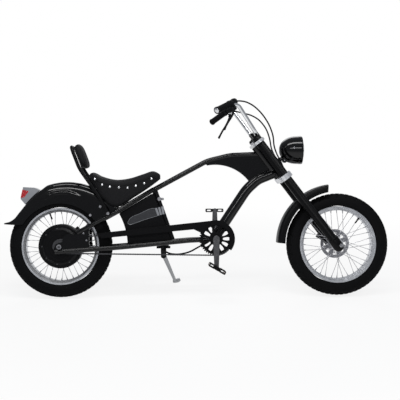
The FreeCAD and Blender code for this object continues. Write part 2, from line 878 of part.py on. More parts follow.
def chain_body(name, grow, width):
    """The chain's loop filled solid."""
    return plate(name, chain_outline(grow), width, -chain_place)


chain_outer = chain_body("chain_outer", CHAIN_HALF, chain_width)
chain_inner = chain_body("chain_inner", -CHAIN_HALF, chain_width + 4)
label(less("chain_cut", chain_outer, [chain_inner]), "chain")


def along_upper_run(forward, above):
    """A point beside the chain's upper run."""
    foot = round_sprocket(UPPER_RUN + math.pi / 2, 0)
    return (forward, foot[1] + (forward - foot[0]) * math.tan(UPPER_RUN) + above)


reach = guard_reach.value + CHAIN_HALF
inner_arc = CHAIN_HALF - guard_band.value
guard_top = UPPER_RUN + math.pi / 2
guard_end = math.radians(-38)
guard_corners = [
    along_upper_run(194, reach),
    round_ring(guard_top, reach),
    round_ring(guard_end, reach) + (round_ring(math.radians(30), reach),),
    round_ring(guard_end, inner_arc),
    round_ring(math.radians(158), inner_arc) + (round_ring(math.radians(60), inner_arc),),
    along_upper_run(722, -24),
    along_upper_run(226, inner_arc - 4),
]
guard_sheet = plate("guard_sheet", guard_corners, guard_thickness, -guard_place)
guard_lip = plate(
    "guard_lip",
    [
        along_upper_run(194, reach),
        along_upper_run(720, reach),
        along_upper_run(720, reach - 2.5),
        along_upper_run(194, reach - 2.5),
    ],
    24,
    -guard_place + 12,
)
tie_forward, tie_up = along_upper_run(588, reach + 1)
guard_tie = cross_rod("guard_tie", tie_forward, tie_up, -guard_place, 0, 9)
guard_joined = union("guard_joined", [guard_sheet, guard_lip, guard_tie])
label(less("chain_guard_cut", guard_joined, [seat_post]), "chain_guard")

# ---------------------------------------------------------------- saddle, backrest and their carriers

GUARD_CENTRE = (38, 4)


def seatstay_height(forward):
    """Height of the upper stays' axis above the rear axle's level."""
    start, corner, end = stay_paths["seatleft"]
    first, last = (start, corner) if forward < corner[0] else (corner, end)
    return first[2] + (forward - first[0]) * (last[2] - first[2]) / (last[0] - first[0])


def on_stay(forward):
    """Height just above the upper stays."""
    corner, end = stay_paths["seatleft"][1:]
    slope = math.atan2(end[2] - corner[2], end[0] - corner[0])
    return seatstay_height(forward) + seatstay_diameter.value / 2 / math.cos(slope) + soft_gap.value


saddle_side = [
    (165, 376),
    (157, 392),
    (193, 399, (172, 406)),
    (302, 362, (248, 371)),
    (402, 379, (352, 366)),
    (514, 410, (466, 401)),
    (542, 384, (539, 404)),
    (526, on_stay(503) + 24),
    (497, on_stay(497)),
    (300, on_stay(300)),
    (270, on_stay(270) + 9),
    (239, 272),
]
saddle_half = saddle_half_width.value
saddle_plan = [
    (150, 8 - saddle_half),
    (262, -saddle_half, (205, -saddle_half - 0.5)),
    (545, -40, (430, 20 - saddle_half)),
    (545, 40, (552, 0)),
    (262, saddle_half, (430, saddle_half - 20)),
    (150, saddle_half - 8, (205, saddle_half + 0.5)),
]
saddle_slab = plate("saddle_slab", saddle_side, saddle_half_width * 2 + 20)
plan_body = helper("PartDesign::Body", "saddle_plan_body")
plan_sketch = new_sketch(plan_body, "XY_Plane")
draw_outline(plan_sketch, saddle_plan)
plan_pad = plan_body.newObject("PartDesign::Pad", "saddle_plan_pad")
plan_pad.Profile = plan_sketch
plan_pad.Length = 600
tyre_tunnel = cross_rod(
    "tyre_tunnel",
    GUARD_CENTRE[0],
    GUARD_CENTRE[1],
    -mudguard_half_width - 2,
    mudguard_half_width + 2,
    (mudguard_radius + 2) * 2,
)
saddle_shape = shared("saddle_shape", saddle_slab, plan_body)
label(less("saddle_cut", saddle_shape, [tyre_tunnel]), "saddle")

pad_tilt = math.radians(backrest_tilt.value)
PAD_UP = Vector(-math.sin(pad_tilt), 0, math.cos(pad_tilt))
PAD_BACK = Vector(-math.cos(pad_tilt), 0, -math.sin(pad_tilt))
pad_centre = Vector(118, 0, 489)
pad_turn = Rotation(Vector(0, 1, 0), -backrest_tilt.value)
backrest = block("backrest_block", pad_centre, backrest_thickness, backrest_width, backrest_length, pad_turn)
label(group("backrest_set", [backrest]), "backrest_pad")

pad_to_hoop = backrest_thickness.value / 2 + sissy_diameter.value / 2 + soft_gap.value
sissy_top = pad_centre + PAD_BACK * pad_to_hoop + PAD_UP * (backrest_length.value / 2 - 8)
sissy_low = pad_centre + PAD_BACK * pad_to_hoop - PAD_UP * 64
out = sissy_place.value
sissy_path = [
    (264, -out, 178),
    (218, -out, 268),
    (sissy_low.x, -out, sissy_low.z),
    (sissy_top.x, -out, sissy_top.z),
    (sissy_top.x, out, sissy_top.z),
    (sissy_low.x, out, sissy_low.z),
    (218, out, 268),
    (264, out, 178),
]
sissy_hoop = bent_tube("sissy_hoop", sissy_path, [200, 200, 36, 36, 200, 200], sissy_diameter)
sissy_bosses = []
for side, way in SIDES:
    boss_span = (way * mudguard_half_width, way * sissy_place)
    sissy_bosses.append(cross_rod("sissy_boss_" + side, 231, 243, *boss_span, 15))
    foot_span = (way * (stay_place - 4), way * (sissy_place + 8))
    sissy_bosses.append(cross_rod("sissy_foot_" + side, 264, 178, *foot_span, 25))
sissy_joined = union("sissy_joined", [sissy_hoop] + sissy_bosses)
label(less("sissy_bar_cut", sissy_joined, seat_stays), "sissy_bar")

# ---------------------------------------------------------------- mudguards and lamps


def about(centre, radius, degrees):
    """A point on a circle in the side view."""
    angle = math.radians(degrees)
    return (centre[0] + float(radius) * math.cos(angle), centre[1] + float(radius) * math.sin(angle))


def rear_guard_outline(inset):
    """The rear mudguard's side view, its outer line moved inwards by a distance."""
    radius = mudguard_radius.value - inset
    return [
        about(GUARD_CENTRE, radius, 43),
        about(GUARD_CENTRE, radius, 110) + (about(GUARD_CENTRE, radius, 76),),
        (-221 + inset, 186, (-158 + inset * 0.8, 262 - inset * 0.6)),
        (-300, 128 - inset, (-256 + inset * 0.5, 142 - inset * 0.9)),
    ]


guard_outer = rear_guard_outline(0) + [
    (-300, 120),
    about((0, 0), skirt_radius, 149),
    about((0, 0), skirt_radius, 38) + (about((0, 0), skirt_radius, 94),),
]
guard_inner = rear_guard_outline(mudguard_wall.value) + [(-302, 60), (340, 60)]
mudguard_block = plate("mudguard_block", guard_outer, mudguard_half_width * 2)
mudguard_space = plate("mudguard_space", guard_inner, (mudguard_half_width - mudguard_wall) * 2)
label(less("rear_mudguard_cut", mudguard_block, [mudguard_space]), "rear_mudguard")

housing_corners = [(-199, 322), (-140, 319), (-100, 300), (-140, 260), (-186, 226), (-213, 258)]
lens_corners = [(-203, 309), (-168, 300), (-194, 266), (-213, 264)]
lamp_housing = plate("tail_lamp_block", housing_corners, tail_lamp_half_width * 2)
lamp_lens = plate("tail_lamp_lens_block", lens_corners, tail_lamp_half_width * 2 + 1)
label(less("tail_lamp_housing_cut", lamp_housing, [mudguard_block, lamp_lens]), "tail_lamp_housing")
label(group("tail_lamp_lens_set", [lamp_lens]), "tail_lamp_lens")

radius = front_guard_radius
inside = radius - front_guard_depth
axle_spot = (wheelbase.value, 0)
front_band = plate(
    "front_guard_band",
    [
        about(axle_spot, radius, 100),
        about(axle_spot, radius, 178) + (about(axle_spot, radius, 140),),
        about(axle_spot, inside, 178),
        about(axle_spot, inside, 100) + (about(axle_spot, inside, 140),),
    ],
    mudguard_half_width * 2,
)
front_space = cross_rod(
    "front_guard_space",
    axle_spot[0],
    axle_spot[1],
    mudguard_wall - mudguard_half_width,
    mudguard_half_width - mudguard_wall,
    (radius - mudguard_wall) * 2,
)
front_shell = less("front_guard_shell", front_band, [front_space])
leg_bars = [
    rod("leg_bar_" + side, in_leg(2 - leg_drop, way * leg_place), in_leg(736, way * leg_place), leg_diameter)
    for side, way in SIDES
]
guard_ties = []
for side, way in SIDES:
    for number, along in enumerate((300, 322)):
        spot = on_leg(along)
        tie_span = (way * (mudguard_half_width - 1), way * leg_place)
        guard_ties.append(cross_rod(f"guard_tie_{side}_{number}", spot[0], spot[2], *tie_span, 12))
front_guard = union("front_guard_joined", [front_shell] + guard_ties)
label(less("front_mudguard_cut", front_guard, leg_bars), "front_mudguard")

# ---------------------------------------------------------------- battery and stand

battery_side = [
    (612, 5),
    (505, 290),
    (498, 268),
    about((0, 0), battery_arc_radius, 28.6),
    about((0, 0), battery_arc_radius, 1) + (about((0, 0), battery_arc_radius, 15),),
]
battery_slab = plate("battery_slab", battery_side, battery_half_width * 2)
label(less("battery_cut", battery_slab, [seat_post, stay_bridge] + chain_stays + seat_stays), "battery_case")

battery_cable = [
    (552, -16, 5),
    (558, -16, -28),
    (592, -16, -46),
    (640, -16, -50),
    (700, -16, -38),
    (752, -14, -8),
    (800, -12, 14),
    (826, -12, 36),
]
cable = cord("battery_cable_bar", battery_cable, cable_bundle_diameter)
label(less("battery_cable_cut", cable, [shell_outer, battery_slab]), "battery_cable")

STAND_PIVOT = Vector(556, 84, -56)
foot_point = Vector(622, stand_reach.value, floor_z(stand_reach.value))
leg_out = (foot_point - STAND_PIVOT).normalize()
FOLD_AXIS = Vector(0, 0.83, 0.558).normalize()
pin_half = 17
pin_start, pin_stop = STAND_PIVOT - FOLD_AXIS * pin_half, STAND_PIVOT + FOLD_AXIS * pin_half
stand_pin = rod("stand_pin", pin_start, pin_stop, stand_pin_diameter)
pin_bore = rod("stand_pin_bore", pin_start, pin_stop, stand_pin_diameter + running_gap * 2)
knuckle_half = FOLD_AXIS * 8
knuckle = rod("stand_knuckle", STAND_PIVOT - knuckle_half, STAND_PIVOT + knuckle_half, 26)
leg_bar = rod("stand_leg_bar", STAND_PIVOT, foot_point - leg_out * 8 + Vector(0, 0, 8), stand_diameter)
shoe_length, shoe_width, shoe_height = 46, 26, 11
shoe_turn = Rotation(Vector(1, 0, 0), lean_angle.value)
shoe_centre = foot_point + shoe_turn.multVec(Vector(10, 0, shoe_height / 2))
shoe = block("stand_shoe", shoe_centre, shoe_length, shoe_width, shoe_height, shoe_turn)
below_floor = block("below_floor", foot_point + shoe_turn.multVec(Vector(0, 0, -30)), 200, 200, 60, shoe_turn)
stand_leg = union("stand_leg", [knuckle, leg_bar, shoe])
cheek_room = [
    rod("cheek_room_lower", STAND_PIVOT - knuckle_half, STAND_PIVOT - FOLD_AXIS * 20, 40),
    rod("cheek_room_upper", STAND_PIVOT + knuckle_half, STAND_PIVOT + FOLD_AXIS * 20, 40),
]
label(less("kickstand_cut", stand_leg, [pin_bore, below_floor] + cheek_room), "kickstand")

left_stay = chain_stays[1]
cheek_place, cheek_thickness, cheek_width, cheek_length = 13.5, 6, 30, 44
arm_turn = Rotation(Vector(1, 0, 0), math.degrees(math.atan2(FOLD_AXIS.z, FOLD_AXIS.y)))
half_cheek = FOLD_AXIS * (cheek_thickness / 2)
half_arm = arm_turn.multVec(Vector(0, 0, cheek_length / 2))
cheeks = []
for number, way in enumerate((-1, 1)):
    centre = STAND_PIVOT + FOLD_AXIS * (way * cheek_place)
    cheeks.append(rod(f"stand_cheek_{number}", centre - half_cheek, centre + half_cheek, cheek_width))
    arm_size = (cheek_width, cheek_thickness, cheek_length)
    cheeks.append(block(f"stand_cheek_arm_{number}", centre + half_arm, *arm_size, arm_turn))
stand_base = block("stand_base", (556, 64, -14), 76, 34, 12)
stand_saddle = block("stand_saddle", (556, 58, 0), 60, 26, 34)
bracket_pieces = union("stand_bracket_joined", cheeks + [stand_pin, stand_base, stand_saddle])
label(less("stand_bracket_cut", bracket_pieces, [left_stay]), "stand_bracket")

# ---------------------------------------------------------------- fork

legs = []
for side, way in SIDES:
    foot_ends = (in_leg(-leg_drop, way * leg_place), in_leg(46, way * leg_place))
    foot = rod("leg_foot_" + side, *foot_ends, leg_foot_diameter)
    legs.append(union("leg_" + side, [leg_bars[0 if way < 0 else 1], foot]))
label(less("fork_legs_cut", group("fork_legs_pair", legs), [front_axle]), "fork_legs")


def clamp(name, along, thickness, depth, back):
    """A triple clamp: a bridge across both legs and the steerer, with a round eye for each leg."""
    pieces = [block(name + "_bridge", on_leg(along, 0, back), depth, leg_place * 2, thickness, FORK_TURN)]
    for side, way in SIDES:
        start = in_leg(along - thickness / 2, way * leg_place)
        stop = in_leg(along + thickness / 2, way * leg_place)
        pieces.append(rod(f"{name}_eye_{side}", start, stop, leg_diameter + 16))
    return union(name + "_joined", pieces)


lower_crown = clamp("lower_crown", lower_clamp_place, lower_clamp_thickness, 74, 12)
crown_cut = less("lower_crown_cut", lower_crown, leg_bars)
label(union("fork_crown_joined", [crown_cut, steerer_bar]), "fork_crown")
upper_crown = clamp("upper_crown", upper_clamp_place, upper_clamp_thickness, 66, 16)
label(less("upper_clamp_cut", upper_crown, leg_bars), "upper_clamp")

# ---------------------------------------------------------------- handlebar

bar_along = 752
clamp_low = upper_clamp_place + upper_clamp_thickness / 2
half_bar = [
    on_leg(bar_along),
    on_leg(bar_along, -118),
    (961, -168, 746),
    (916, -196, 752),
    (842, -304, 706),
]
mirrored = [(x, -y, z) for x, y, z in half_bar[:0:-1]]
bar_path = mirrored + half_bar[1:]
bar_radii = [24, 30, 40, 40, 30, 24]
bar_tube = bent_tube("bar_tube", bar_path, bar_radii, bar_diameter)
label(group("handlebar_set", [bar_tube]), "handlebar")

bar_clamps = []
for side, way in SIDES:
    lateral = way * bar_clamp_place.value
    low, high = Vector(*on_leg(clamp_low, lateral)), Vector(*on_leg(bar_along + 17, lateral))
    centre = (low + high) / 2
    bar_clamps.append(block("bar_clamp_" + side, centre, 40, 30, (high - low).Length, FORK_TURN))
label(less("bar_clamps_cut", group("bar_clamps_pair", bar_clamps), [bar_tube]), "bar_clamps")

grips, levers = [], []
for side, way in SIDES:
    end = Vector(842, way * 304, 706)
    inner = Vector(916, way * 196, 752)
    along = (end - inner).normalize()
    grip_start = end - along * grip_length.value
    grips.append(rod("grip_" + side, grip_start, end + along * 5, grip_diameter))
    collar = rod("perch_" + side, grip_start - along * 26, grip_start - along * 2, 36)
    perch = grip_start - along * 14
    arm_end = perch + Vector(20, way * 4, -24)
    tip = Vector(880, way * 284, 612)
    arm = rod("lever_arm_" + side, perch, arm_end, 18)
    blade = rod("lever_blade_" + side, arm_end, tip, 11)
    knob = helper("Part::Sphere", "lever_knob_" + side)
    knob.Radius = 8
    knob.Placement = Placement(tip, Rotation())
    knuckle_ball = helper("Part::Sphere", "lever_knuckle_" + side)
    knuckle_ball.Radius = 11
    knuckle_ball.Placement = Placement(arm_end, Rotation())
    levers.append(union("lever_" + side, [collar, arm, knuckle_ball, blade, knob]))
label(less("grips_cut", group("grips_pair", grips), [bar_tube]), "grips")
label(less("levers_cut", group("levers_pair", levers), [bar_tube]), "brake_levers")

# ---------------------------------------------------------------- headlamp

LAMP_BACK, LAMP_LEVEL = 1195, 519
lamp_radius = lamp_diameter / 2
shell_profile = [
    (0, 0),
    (28, 4, (15, 1)),
    (lamp_radius - 7, 60, (57, 25)),
    (lamp_radius - 3, lamp_length - 18),
    (lamp_radius, lamp_length - 16),
    (lamp_radius, lamp_length),
    (lamp_radius - 6, lamp_length),
    (lamp_radius - 6, lamp_length - 14),
    (0, lamp_length - 14),
]
lamp_body = turned("lamp_body", shell_profile)
lamp_body.Placement = Placement(Vector(LAMP_BACK, 0, LAMP_LEVEL), Rotation(Vector(0, 1, 0), 90))
lamp_bar_diameter = 14
bar_ahead = head_tube_diameter / 2 + moving_gap + lamp_bar_diameter / 2 - steer_offset
bracket_spot = on_leg(566, 0, -bar_ahead)
bracket_bar = cross_rod(
    "lamp_bracket_bar", bracket_spot[0], bracket_spot[2], -leg_place, leg_place, lamp_bar_diameter
)
bracket_arm = rod("lamp_bracket_arm", bracket_spot, (LAMP_BACK + 50, 0, LAMP_LEVEL - 28), 21)
lamp_joined = union("headlamp_joined", [lamp_body, bracket_arm, bracket_bar])
label(less("headlamp_cut", lamp_joined, leg_bars), "headlamp_shell")
lens_bulge = 13
lens_edge = lamp_radius.value - 6
dome_radius = (lens_edge ** 2 + lens_bulge ** 2) / (2 * lens_bulge)
halfway = lens_edge / 2
dome_rise = math.sqrt(dome_radius ** 2 - halfway ** 2) - dome_radius + lens_bulge
glass_profile = [
    (0, lamp_length - 14),
    (lamp_radius - 6, lamp_length - 14),
    (lamp_radius - 6, lamp_length - 1),
    (0, lamp_length - 1 + lens_bulge, (halfway, lamp_length - 1 + dome_rise)),
]
glass = turned("headlamp_glass", glass_profile)
label(glass, "headlamp_lens", Placement(Vector(LAMP_BACK, 0, LAMP_LEVEL), Rotation(Vector(0, 1, 0), 90)))

# ---------------------------------------------------------------- brakes and hoses

CALIPER_SIZE = (62, 30, 50)


def caliper(prefix, centre, turn, disc_place, disc_radius):
    """A caliper block with a slot that straddles its disc."""
    body = block(prefix + "_caliper_block", centre, *CALIPER_SIZE, Rotation(Vector(0, 1, 0), turn))
    slot = cross_rod(
        prefix + "_caliper_slot",
        float(disc_radius[0]),
        float(disc_radius[1]),
        disc_place - 1.5,
        disc_place + disc_thickness + 1.5,
        disc_diameter + 10,
    )
    return body, slot


front_disc_spot = (wheelbase.value, 0)
caliper_centre = (1446, 57, 44)
front_block, front_slot = caliper("front", caliper_centre, 30, front_disc_place, front_disc_spot)
leg_lug = block("front_caliper_lug", (1466, 78, 62), 34, 22, 30, FORK_TURN)
front_caliper = union("front_caliper_joined", [front_block, leg_lug])
label(less("front_caliper_cut", front_caliper, [front_slot, legs[1]]), "front_brake_caliper")

rear_block, rear_slot = caliper("rear", (74, 62, 66), -42, rear_disc_place, (0, 0))
cover_diameter = motor_diameter - 36
space_reach = motor_half_width + motor_cover_rise + moving_gap
motor_space = cross_rod("motor_space", 0, 0, 0, space_reach, cover_diameter + moving_gap * 2)
label(less("rear_caliper_cut", rear_block, [rear_slot, motor_space, uppers_joined]), "rear_brake_caliper")

front_hose = [
    (1240, 56, 402),
    (1262, 55, 372),
    (1296, 66, 322),
    (1340, 70, 268),
    (1392, 66, 196),
    (1430, 60, 130),
    (1446, 57, 78),
]
hose = cord("front_hose_bar", front_hose, brake_hose_diameter)
label(less("front_hose_cut", hose, [front_caliper, lower_crown]), "front_brake_hose")

right_cable = [
    (918, -193, 753),
    (955, -165, 772),
    (1005, -125, 772),
    (1055, -90, 750),
    (1100, -62, 710),
    (1138, -45, 655),
    (1160, -38, 595),
    (1163, -36, 540),
    (1180, -36, 492),
    (1206, -34, 446),
    (1225, -32, 392),
]
left_cable = [
    (918, 193, 753),
    (958, 166, 755),
    (1005, 125, 738),
    (1052, 90, 722),
    (1095, 62, 692),
    (1132, 45, 640),
    (1150, 38, 582),
    (1156, 36, 532),
    (1176, 36, 488),
    (1204, 34, 442),
    (1223, 32, 390),
]
bar_cables = [
    cord("bar_cable_right", right_cable, bar_cable_diameter),
    cord("bar_cable_left", left_cable, bar_cable_diameter),
]
cable_pair = group("bar_cables_pair", bar_cables)
label(less("bar_cables_cut", cable_pair, [lower_crown, bar_tube] + levers), "bar_cables")

# ---------------------------------------------------------------- checks and output

doc.recompute()
for item in doc.Objects:
    if "Invalid" in item.State or "Error" in item.State:
        raise RuntimeError(f"{item.Name} could not be built")
names = [piece.Label for piece in finished]
if len(set(names)) != len(names):
    raise RuntimeError("two sub-parts share a name")
os.makedirs("parts", exist_ok=True)
for piece in finished:
    if piece.Shape.isNull() or not piece.Shape.isValid():
        raise RuntimeError(f"{piece.Label} is not a valid solid")
for piece in finished:
    piece.Shape.exportStep(os.path.join("parts", piece.Label + ".step"))
print(len(finished), "sub-parts")
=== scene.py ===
import math

import bpy
import numpy as np
from bpy.props import FloatProperty, FloatVectorProperty, IntProperty, PointerProperty
from bpy.types import Operator, Panel, PropertyGroup
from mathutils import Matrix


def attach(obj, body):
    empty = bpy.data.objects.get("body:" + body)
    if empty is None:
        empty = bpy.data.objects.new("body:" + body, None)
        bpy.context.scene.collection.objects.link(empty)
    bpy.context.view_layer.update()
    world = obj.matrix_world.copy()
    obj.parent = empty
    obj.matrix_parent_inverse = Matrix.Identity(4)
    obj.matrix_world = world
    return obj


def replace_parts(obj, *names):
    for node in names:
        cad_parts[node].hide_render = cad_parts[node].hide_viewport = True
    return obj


bl_info = {
    "name": "Electric chopper bicycle",
    "version": (1, 0, 0),
    "blender": (4, 5, 0),
    "location": "View3D > Sidebar > Chopper",
    "description": "Finishes the pieces of a leaning electric chopper bicycle",
    "category": "Add Mesh",
}

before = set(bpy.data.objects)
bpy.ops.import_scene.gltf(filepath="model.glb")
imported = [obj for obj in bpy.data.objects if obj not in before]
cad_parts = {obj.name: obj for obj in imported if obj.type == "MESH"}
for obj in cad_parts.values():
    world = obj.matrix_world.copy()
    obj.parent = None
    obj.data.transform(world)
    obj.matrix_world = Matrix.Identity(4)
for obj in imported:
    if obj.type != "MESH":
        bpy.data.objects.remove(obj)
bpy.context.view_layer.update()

# ------------------------------------------------------------------ the bicycle's own frame

LEAN = math.radians(12)
TYRE_RING, TYRE_SECTION = 0.231, 0.049
WHEELBASE = 1.512
AXLE_LEVEL = TYRE_RING * math.cos(LEAN) + TYRE_SECTION
CONTACT_SHIFT = TYRE_RING * math.sin(LEAN)


def leaned(points):
    """Bicycle frame to floor frame: a turn about X by the lean, then up by the axle's level."""
    p = np.asarray(points, dtype=float)
    y = p[..., 1] * math.cos(LEAN) + p[..., 2] * math.sin(LEAN) + CONTACT_SHIFT
    z = -p[..., 1] * math.sin(LEAN) + p[..., 2] * math.cos(LEAN) + AXLE_LEVEL
    return np.stack([p[..., 0], y, z], axis=-1)


# ------------------------------------------------------------------ settings


class ChopperColours(PropertyGroup):
    """Finishes of the bicycle."""

    paint: FloatVectorProperty(
        name="Paint", description="Gloss paint of the frame and mudguards", subtype="COLOR", size=3,
        min=0, max=1, default=(0.0022, 0.0022, 0.0026),
    )
    rubber: FloatVectorProperty(
        name="Rubber", description="Tyre rubber", subtype="COLOR", size=3, min=0, max=1,
        default=(0.005, 0.005, 0.0055),
    )
    leather: FloatVectorProperty(
        name="Leather", description="Saddle and backrest cover", subtype="COLOR", size=3, min=0, max=1,
        default=(0.010, 0.010, 0.011),
    )
    alloy: FloatVectorProperty(
        name="Alloy", description="Bare alloy of the clamps and rims", subtype="COLOR", size=3, min=0, max=1,
        default=(0.62, 0.63, 0.65),
    )
    tail_red: FloatVectorProperty(
        name="Tail lamp red", description="Tail lamp's lens", subtype="COLOR", size=3, min=0, max=1,
        default=(0.45, 0.008, 0.012),
    )


class ChopperSizes(PropertyGroup):
    """Sizes of the pieces that the finish adds."""

    camera_distance: FloatProperty(
        name="Camera distance", description="From the camera to the bicycle's middle plane", default=4.4,
        min=2, max=10, unit="LENGTH",
    )
    tread_depth: FloatProperty(
        name="Tread depth", description="Depth of the tyre's grooves", default=0.0035, min=0, max=0.01,
        unit="LENGTH",
    )
    tread_blocks: IntProperty(
        name="Tread blocks", description="Blocks round each tyre", default=64, min=12, max=200,
    )
    stud_radius: FloatProperty(
        name="Stud radius", description="Radius of the saddle's studs", default=0.0065, min=0.001, max=0.02,
        unit="LENGTH",
    )
    link_pitch: FloatProperty(
        name="Chain pitch", description="Pin to pin length of the chain", default=0.0127, min=0.005, max=0.03,
        unit="LENGTH",
    )


def colours():
    """The scene's colour settings."""
    return bpy.context.scene.chopper_colours


def sizes():
    """The scene's size settings."""
    return bpy.context.scene.chopper_sizes


# ------------------------------------------------------------------ materials


def new_material(name, colour, roughness, metallic=0.0, coat=0.0, coat_roughness=0.03):
    """A named surface with its plain values, and its nodes for more detail."""
    material = bpy.data.materials.new(name)
    material.use_nodes = True
    nodes, links = material.node_tree.nodes, material.node_tree.links
    shader = nodes["Principled BSDF"]
    shader.inputs["Base Color"].default_value = (*colour, 1)
    shader.inputs["Roughness"].default_value = roughness
    shader.inputs["Metallic"].default_value = metallic
    shader.inputs["Coat Weight"].default_value = coat
    shader.inputs["Coat Roughness"].default_value = coat_roughness
    place = nodes.new("ShaderNodeTexCoord")
    return material, nodes, links, shader, place.outputs["Object"]


def noise_of(nodes, links, place, scale, detail=4.0, stretch=(1, 1, 1)):
    """Noise at a scale per metre, with its place stretched along each axis."""
    mapping = nodes.new("ShaderNodeMapping")
    mapping.inputs["Scale"].default_value = stretch
    links.new(place, mapping.inputs["Vector"])
    noise = nodes.new("ShaderNodeTexNoise")
    noise.inputs["Scale"].default_value = scale
    noise.inputs["Detail"].default_value = detail
    links.new(mapping.outputs["Vector"], noise.inputs["Vector"])
    return noise.outputs["Fac"]


def spread(nodes, links, value, low, high):
    """Maps a 0 to 1 value to a range."""
    node = nodes.new("ShaderNodeMapRange")
    node.inputs["From Min"].default_value = 0.3
    node.inputs["From Max"].default_value = 0.7
    node.inputs["To Min"].default_value = low
    node.inputs["To Max"].default_value = high
    links.new(value, node.inputs["Value"])
    return node.outputs["Result"]


def tint(nodes, links, value, dark, light):
    """Mixes two colours by a value."""
    node = nodes.new("ShaderNodeMix")
    node.data_type = "RGBA"
    node.inputs["A"].default_value = (*dark, 1)
    node.inputs["B"].default_value = (*light, 1)
    links.new(value, node.inputs["Factor"])
    return node.outputs["Result"]


def bump(nodes, links, shader, value, strength, distance):
    """Raises the surface by a value."""
    node = nodes.new("ShaderNodeBump")
    node.inputs["Strength"].default_value = strength
    node.inputs["Distance"].default_value = distance
    links.new(value, node.inputs["Height"])
    links.new(node.outputs["Normal"], shader.inputs["Normal"])


def finish_surface(
    name, colour, roughness, metallic, coat, scale, spread_by, height, stretch=(1, 1, 1), shine=0.5
):
    """A finish whose roughness and colour vary with noise and whose grain stands up a little."""
    material, nodes, links, shader, place = new_material(name, colour, roughness, metallic, coat)
    shader.inputs["Specular IOR Level"].default_value = shine
    value = noise_of(nodes, links, place, scale, 6, stretch)
    varied = spread(nodes, links, value, roughness - spread_by, roughness + spread_by)
    links.new(varied, shader.inputs["Roughness"])
    dark = tuple(c * 0.8 for c in colour)
    light = tuple(min(1, c * 1.2) for c in colour)
    links.new(tint(nodes, links, value, dark, light), shader.inputs["Base Color"])
    bump(nodes, links, shader, value, 0.25, height)
    return material


def make_materials():
    """Every finish, by name."""
    c = colours()
    paint, rubber, leather, alloy = tuple(c.paint), tuple(c.rubber), tuple(c.leather), tuple(c.alloy)
    bright = tuple(min(1, 1.2 * part) for part in alloy)
    satin, dull = tuple(1.4 * part for part in paint), tuple(2.0 * part for part in paint)
    made = {
        "gloss paint": finish_surface("gloss_paint", paint, 0.16, 0, 0.5, 30, 0.03, 0.000004, shine=0.1),
        "satin paint": finish_surface("satin_paint", satin, 0.36, 0, 0, 140, 0.05, 0.0001, shine=0.12),
        "dull black": finish_surface("dull_black", dull, 0.55, 0, 0, 300, 0.08, 0.0002, shine=0.1),
        "motor black": finish_surface("motor_black", satin, 0.34, 0, 0, 200, 0.06, 0.0001, shine=0.15),
        "rubber": finish_surface("tyre_rubber", rubber, 0.74, 0, 0, 500, 0.08, 0.0002, shine=0.07),
        "grip rubber": finish_surface("grip_rubber", dull, 0.66, 0, 0, 700, 0.08, 0.0002, shine=0.1),
        "alloy": finish_surface("brushed_alloy", bright, 0.32, 0.7, 0, 90, 0.06, 0.00005, (1, 8, 1)),
        "rim alloy": finish_surface("rim_alloy", bright, 0.26, 0.75, 0, 25, 0.03, 0.00001),
        "steel": finish_surface("bare_steel", (0.46, 0.46, 0.48), 0.30, 1, 0, 160, 0.06, 0.00005),
        "dark steel": finish_surface("dark_steel", (0.10, 0.10, 0.105), 0.38, 1, 0, 160, 0.08, 0.0001),
        "crank grey": finish_surface("crank_grey", (0.16, 0.16, 0.165), 0.34, 1, 0, 120, 0.06, 0.00005),
        "chrome": finish_surface("chrome_plate", (0.82, 0.83, 0.85), 0.07, 1, 0, 20, 0.02, 0.00002),
        "stand alloy": finish_surface("cast_alloy", (0.42, 0.43, 0.44), 0.42, 1, 0, 240, 0.06, 0.0001),
        "case plastic": finish_surface("case_plastic", satin, 0.30, 0, 0, 260, 0.05, 0.0001, shine=0.15),
        "smoked": finish_surface("smoked_window", (0.03, 0.031, 0.034), 0.12, 0, 0.8, 20, 0.02, 0.00001),
        "amber": finish_surface("amber_reflector", (0.55, 0.16, 0.01), 0.2, 0, 0.6, 400, 0.05, 0.0002),
        "bulb glass": finish_surface("bulb_glass", (0.75, 0.74, 0.7), 0.15, 0, 0.8, 60, 0.04, 0.00002),
    }
    made["leather"] = leather_material(leather)
    made["tail lens"] = lens_material("tail_lens", tuple(c.tail_red), 0.12)
    made["clear lens"] = glass_material()
    return made


def leather_material(colour):
    """Matt leather: cells of grain with fine creases."""
    material, nodes, links, shader, place = new_material("saddle_leather", colour, 0.62)
    cells = nodes.new("ShaderNodeTexVoronoi")
    cells.feature = "DISTANCE_TO_EDGE"
    cells.inputs["Scale"].default_value = 520
    links.new(place, cells.inputs["Vector"])
    grain = nodes.new("ShaderNodeMapRange")
    grain.inputs["From Max"].default_value = 0.12
    links.new(cells.outputs["Distance"], grain.inputs["Value"])
    shader.inputs["Specular IOR Level"].default_value = 0.12
    soft = noise_of(nodes, links, place, 26, 3)
    dark = tuple(c * 0.75 for c in colour)
    light = tuple(c * 1.35 for c in colour)
    links.new(tint(nodes, links, soft, dark, light), shader.inputs["Base Color"])
    links.new(spread(nodes, links, soft, 0.56, 0.70), shader.inputs["Roughness"])
    bump(nodes, links, shader, grain.outputs["Result"], 0.35, 0.0004)
    return material


def lens_material(name, colour, roughness):
    """A moulded coloured lens with fine ribs."""
    material, nodes, links, shader, place = new_material(name, colour, roughness, 0, 1.0)
    ribs = nodes.new("ShaderNodeTexWave")
    ribs.inputs["Scale"].default_value = 90
    ribs.bands_direction = "Z"
    links.new(place, ribs.inputs["Vector"])
    bump(nodes, links, shader, ribs.outputs["Fac"], 0.3, 0.0006)
    return material


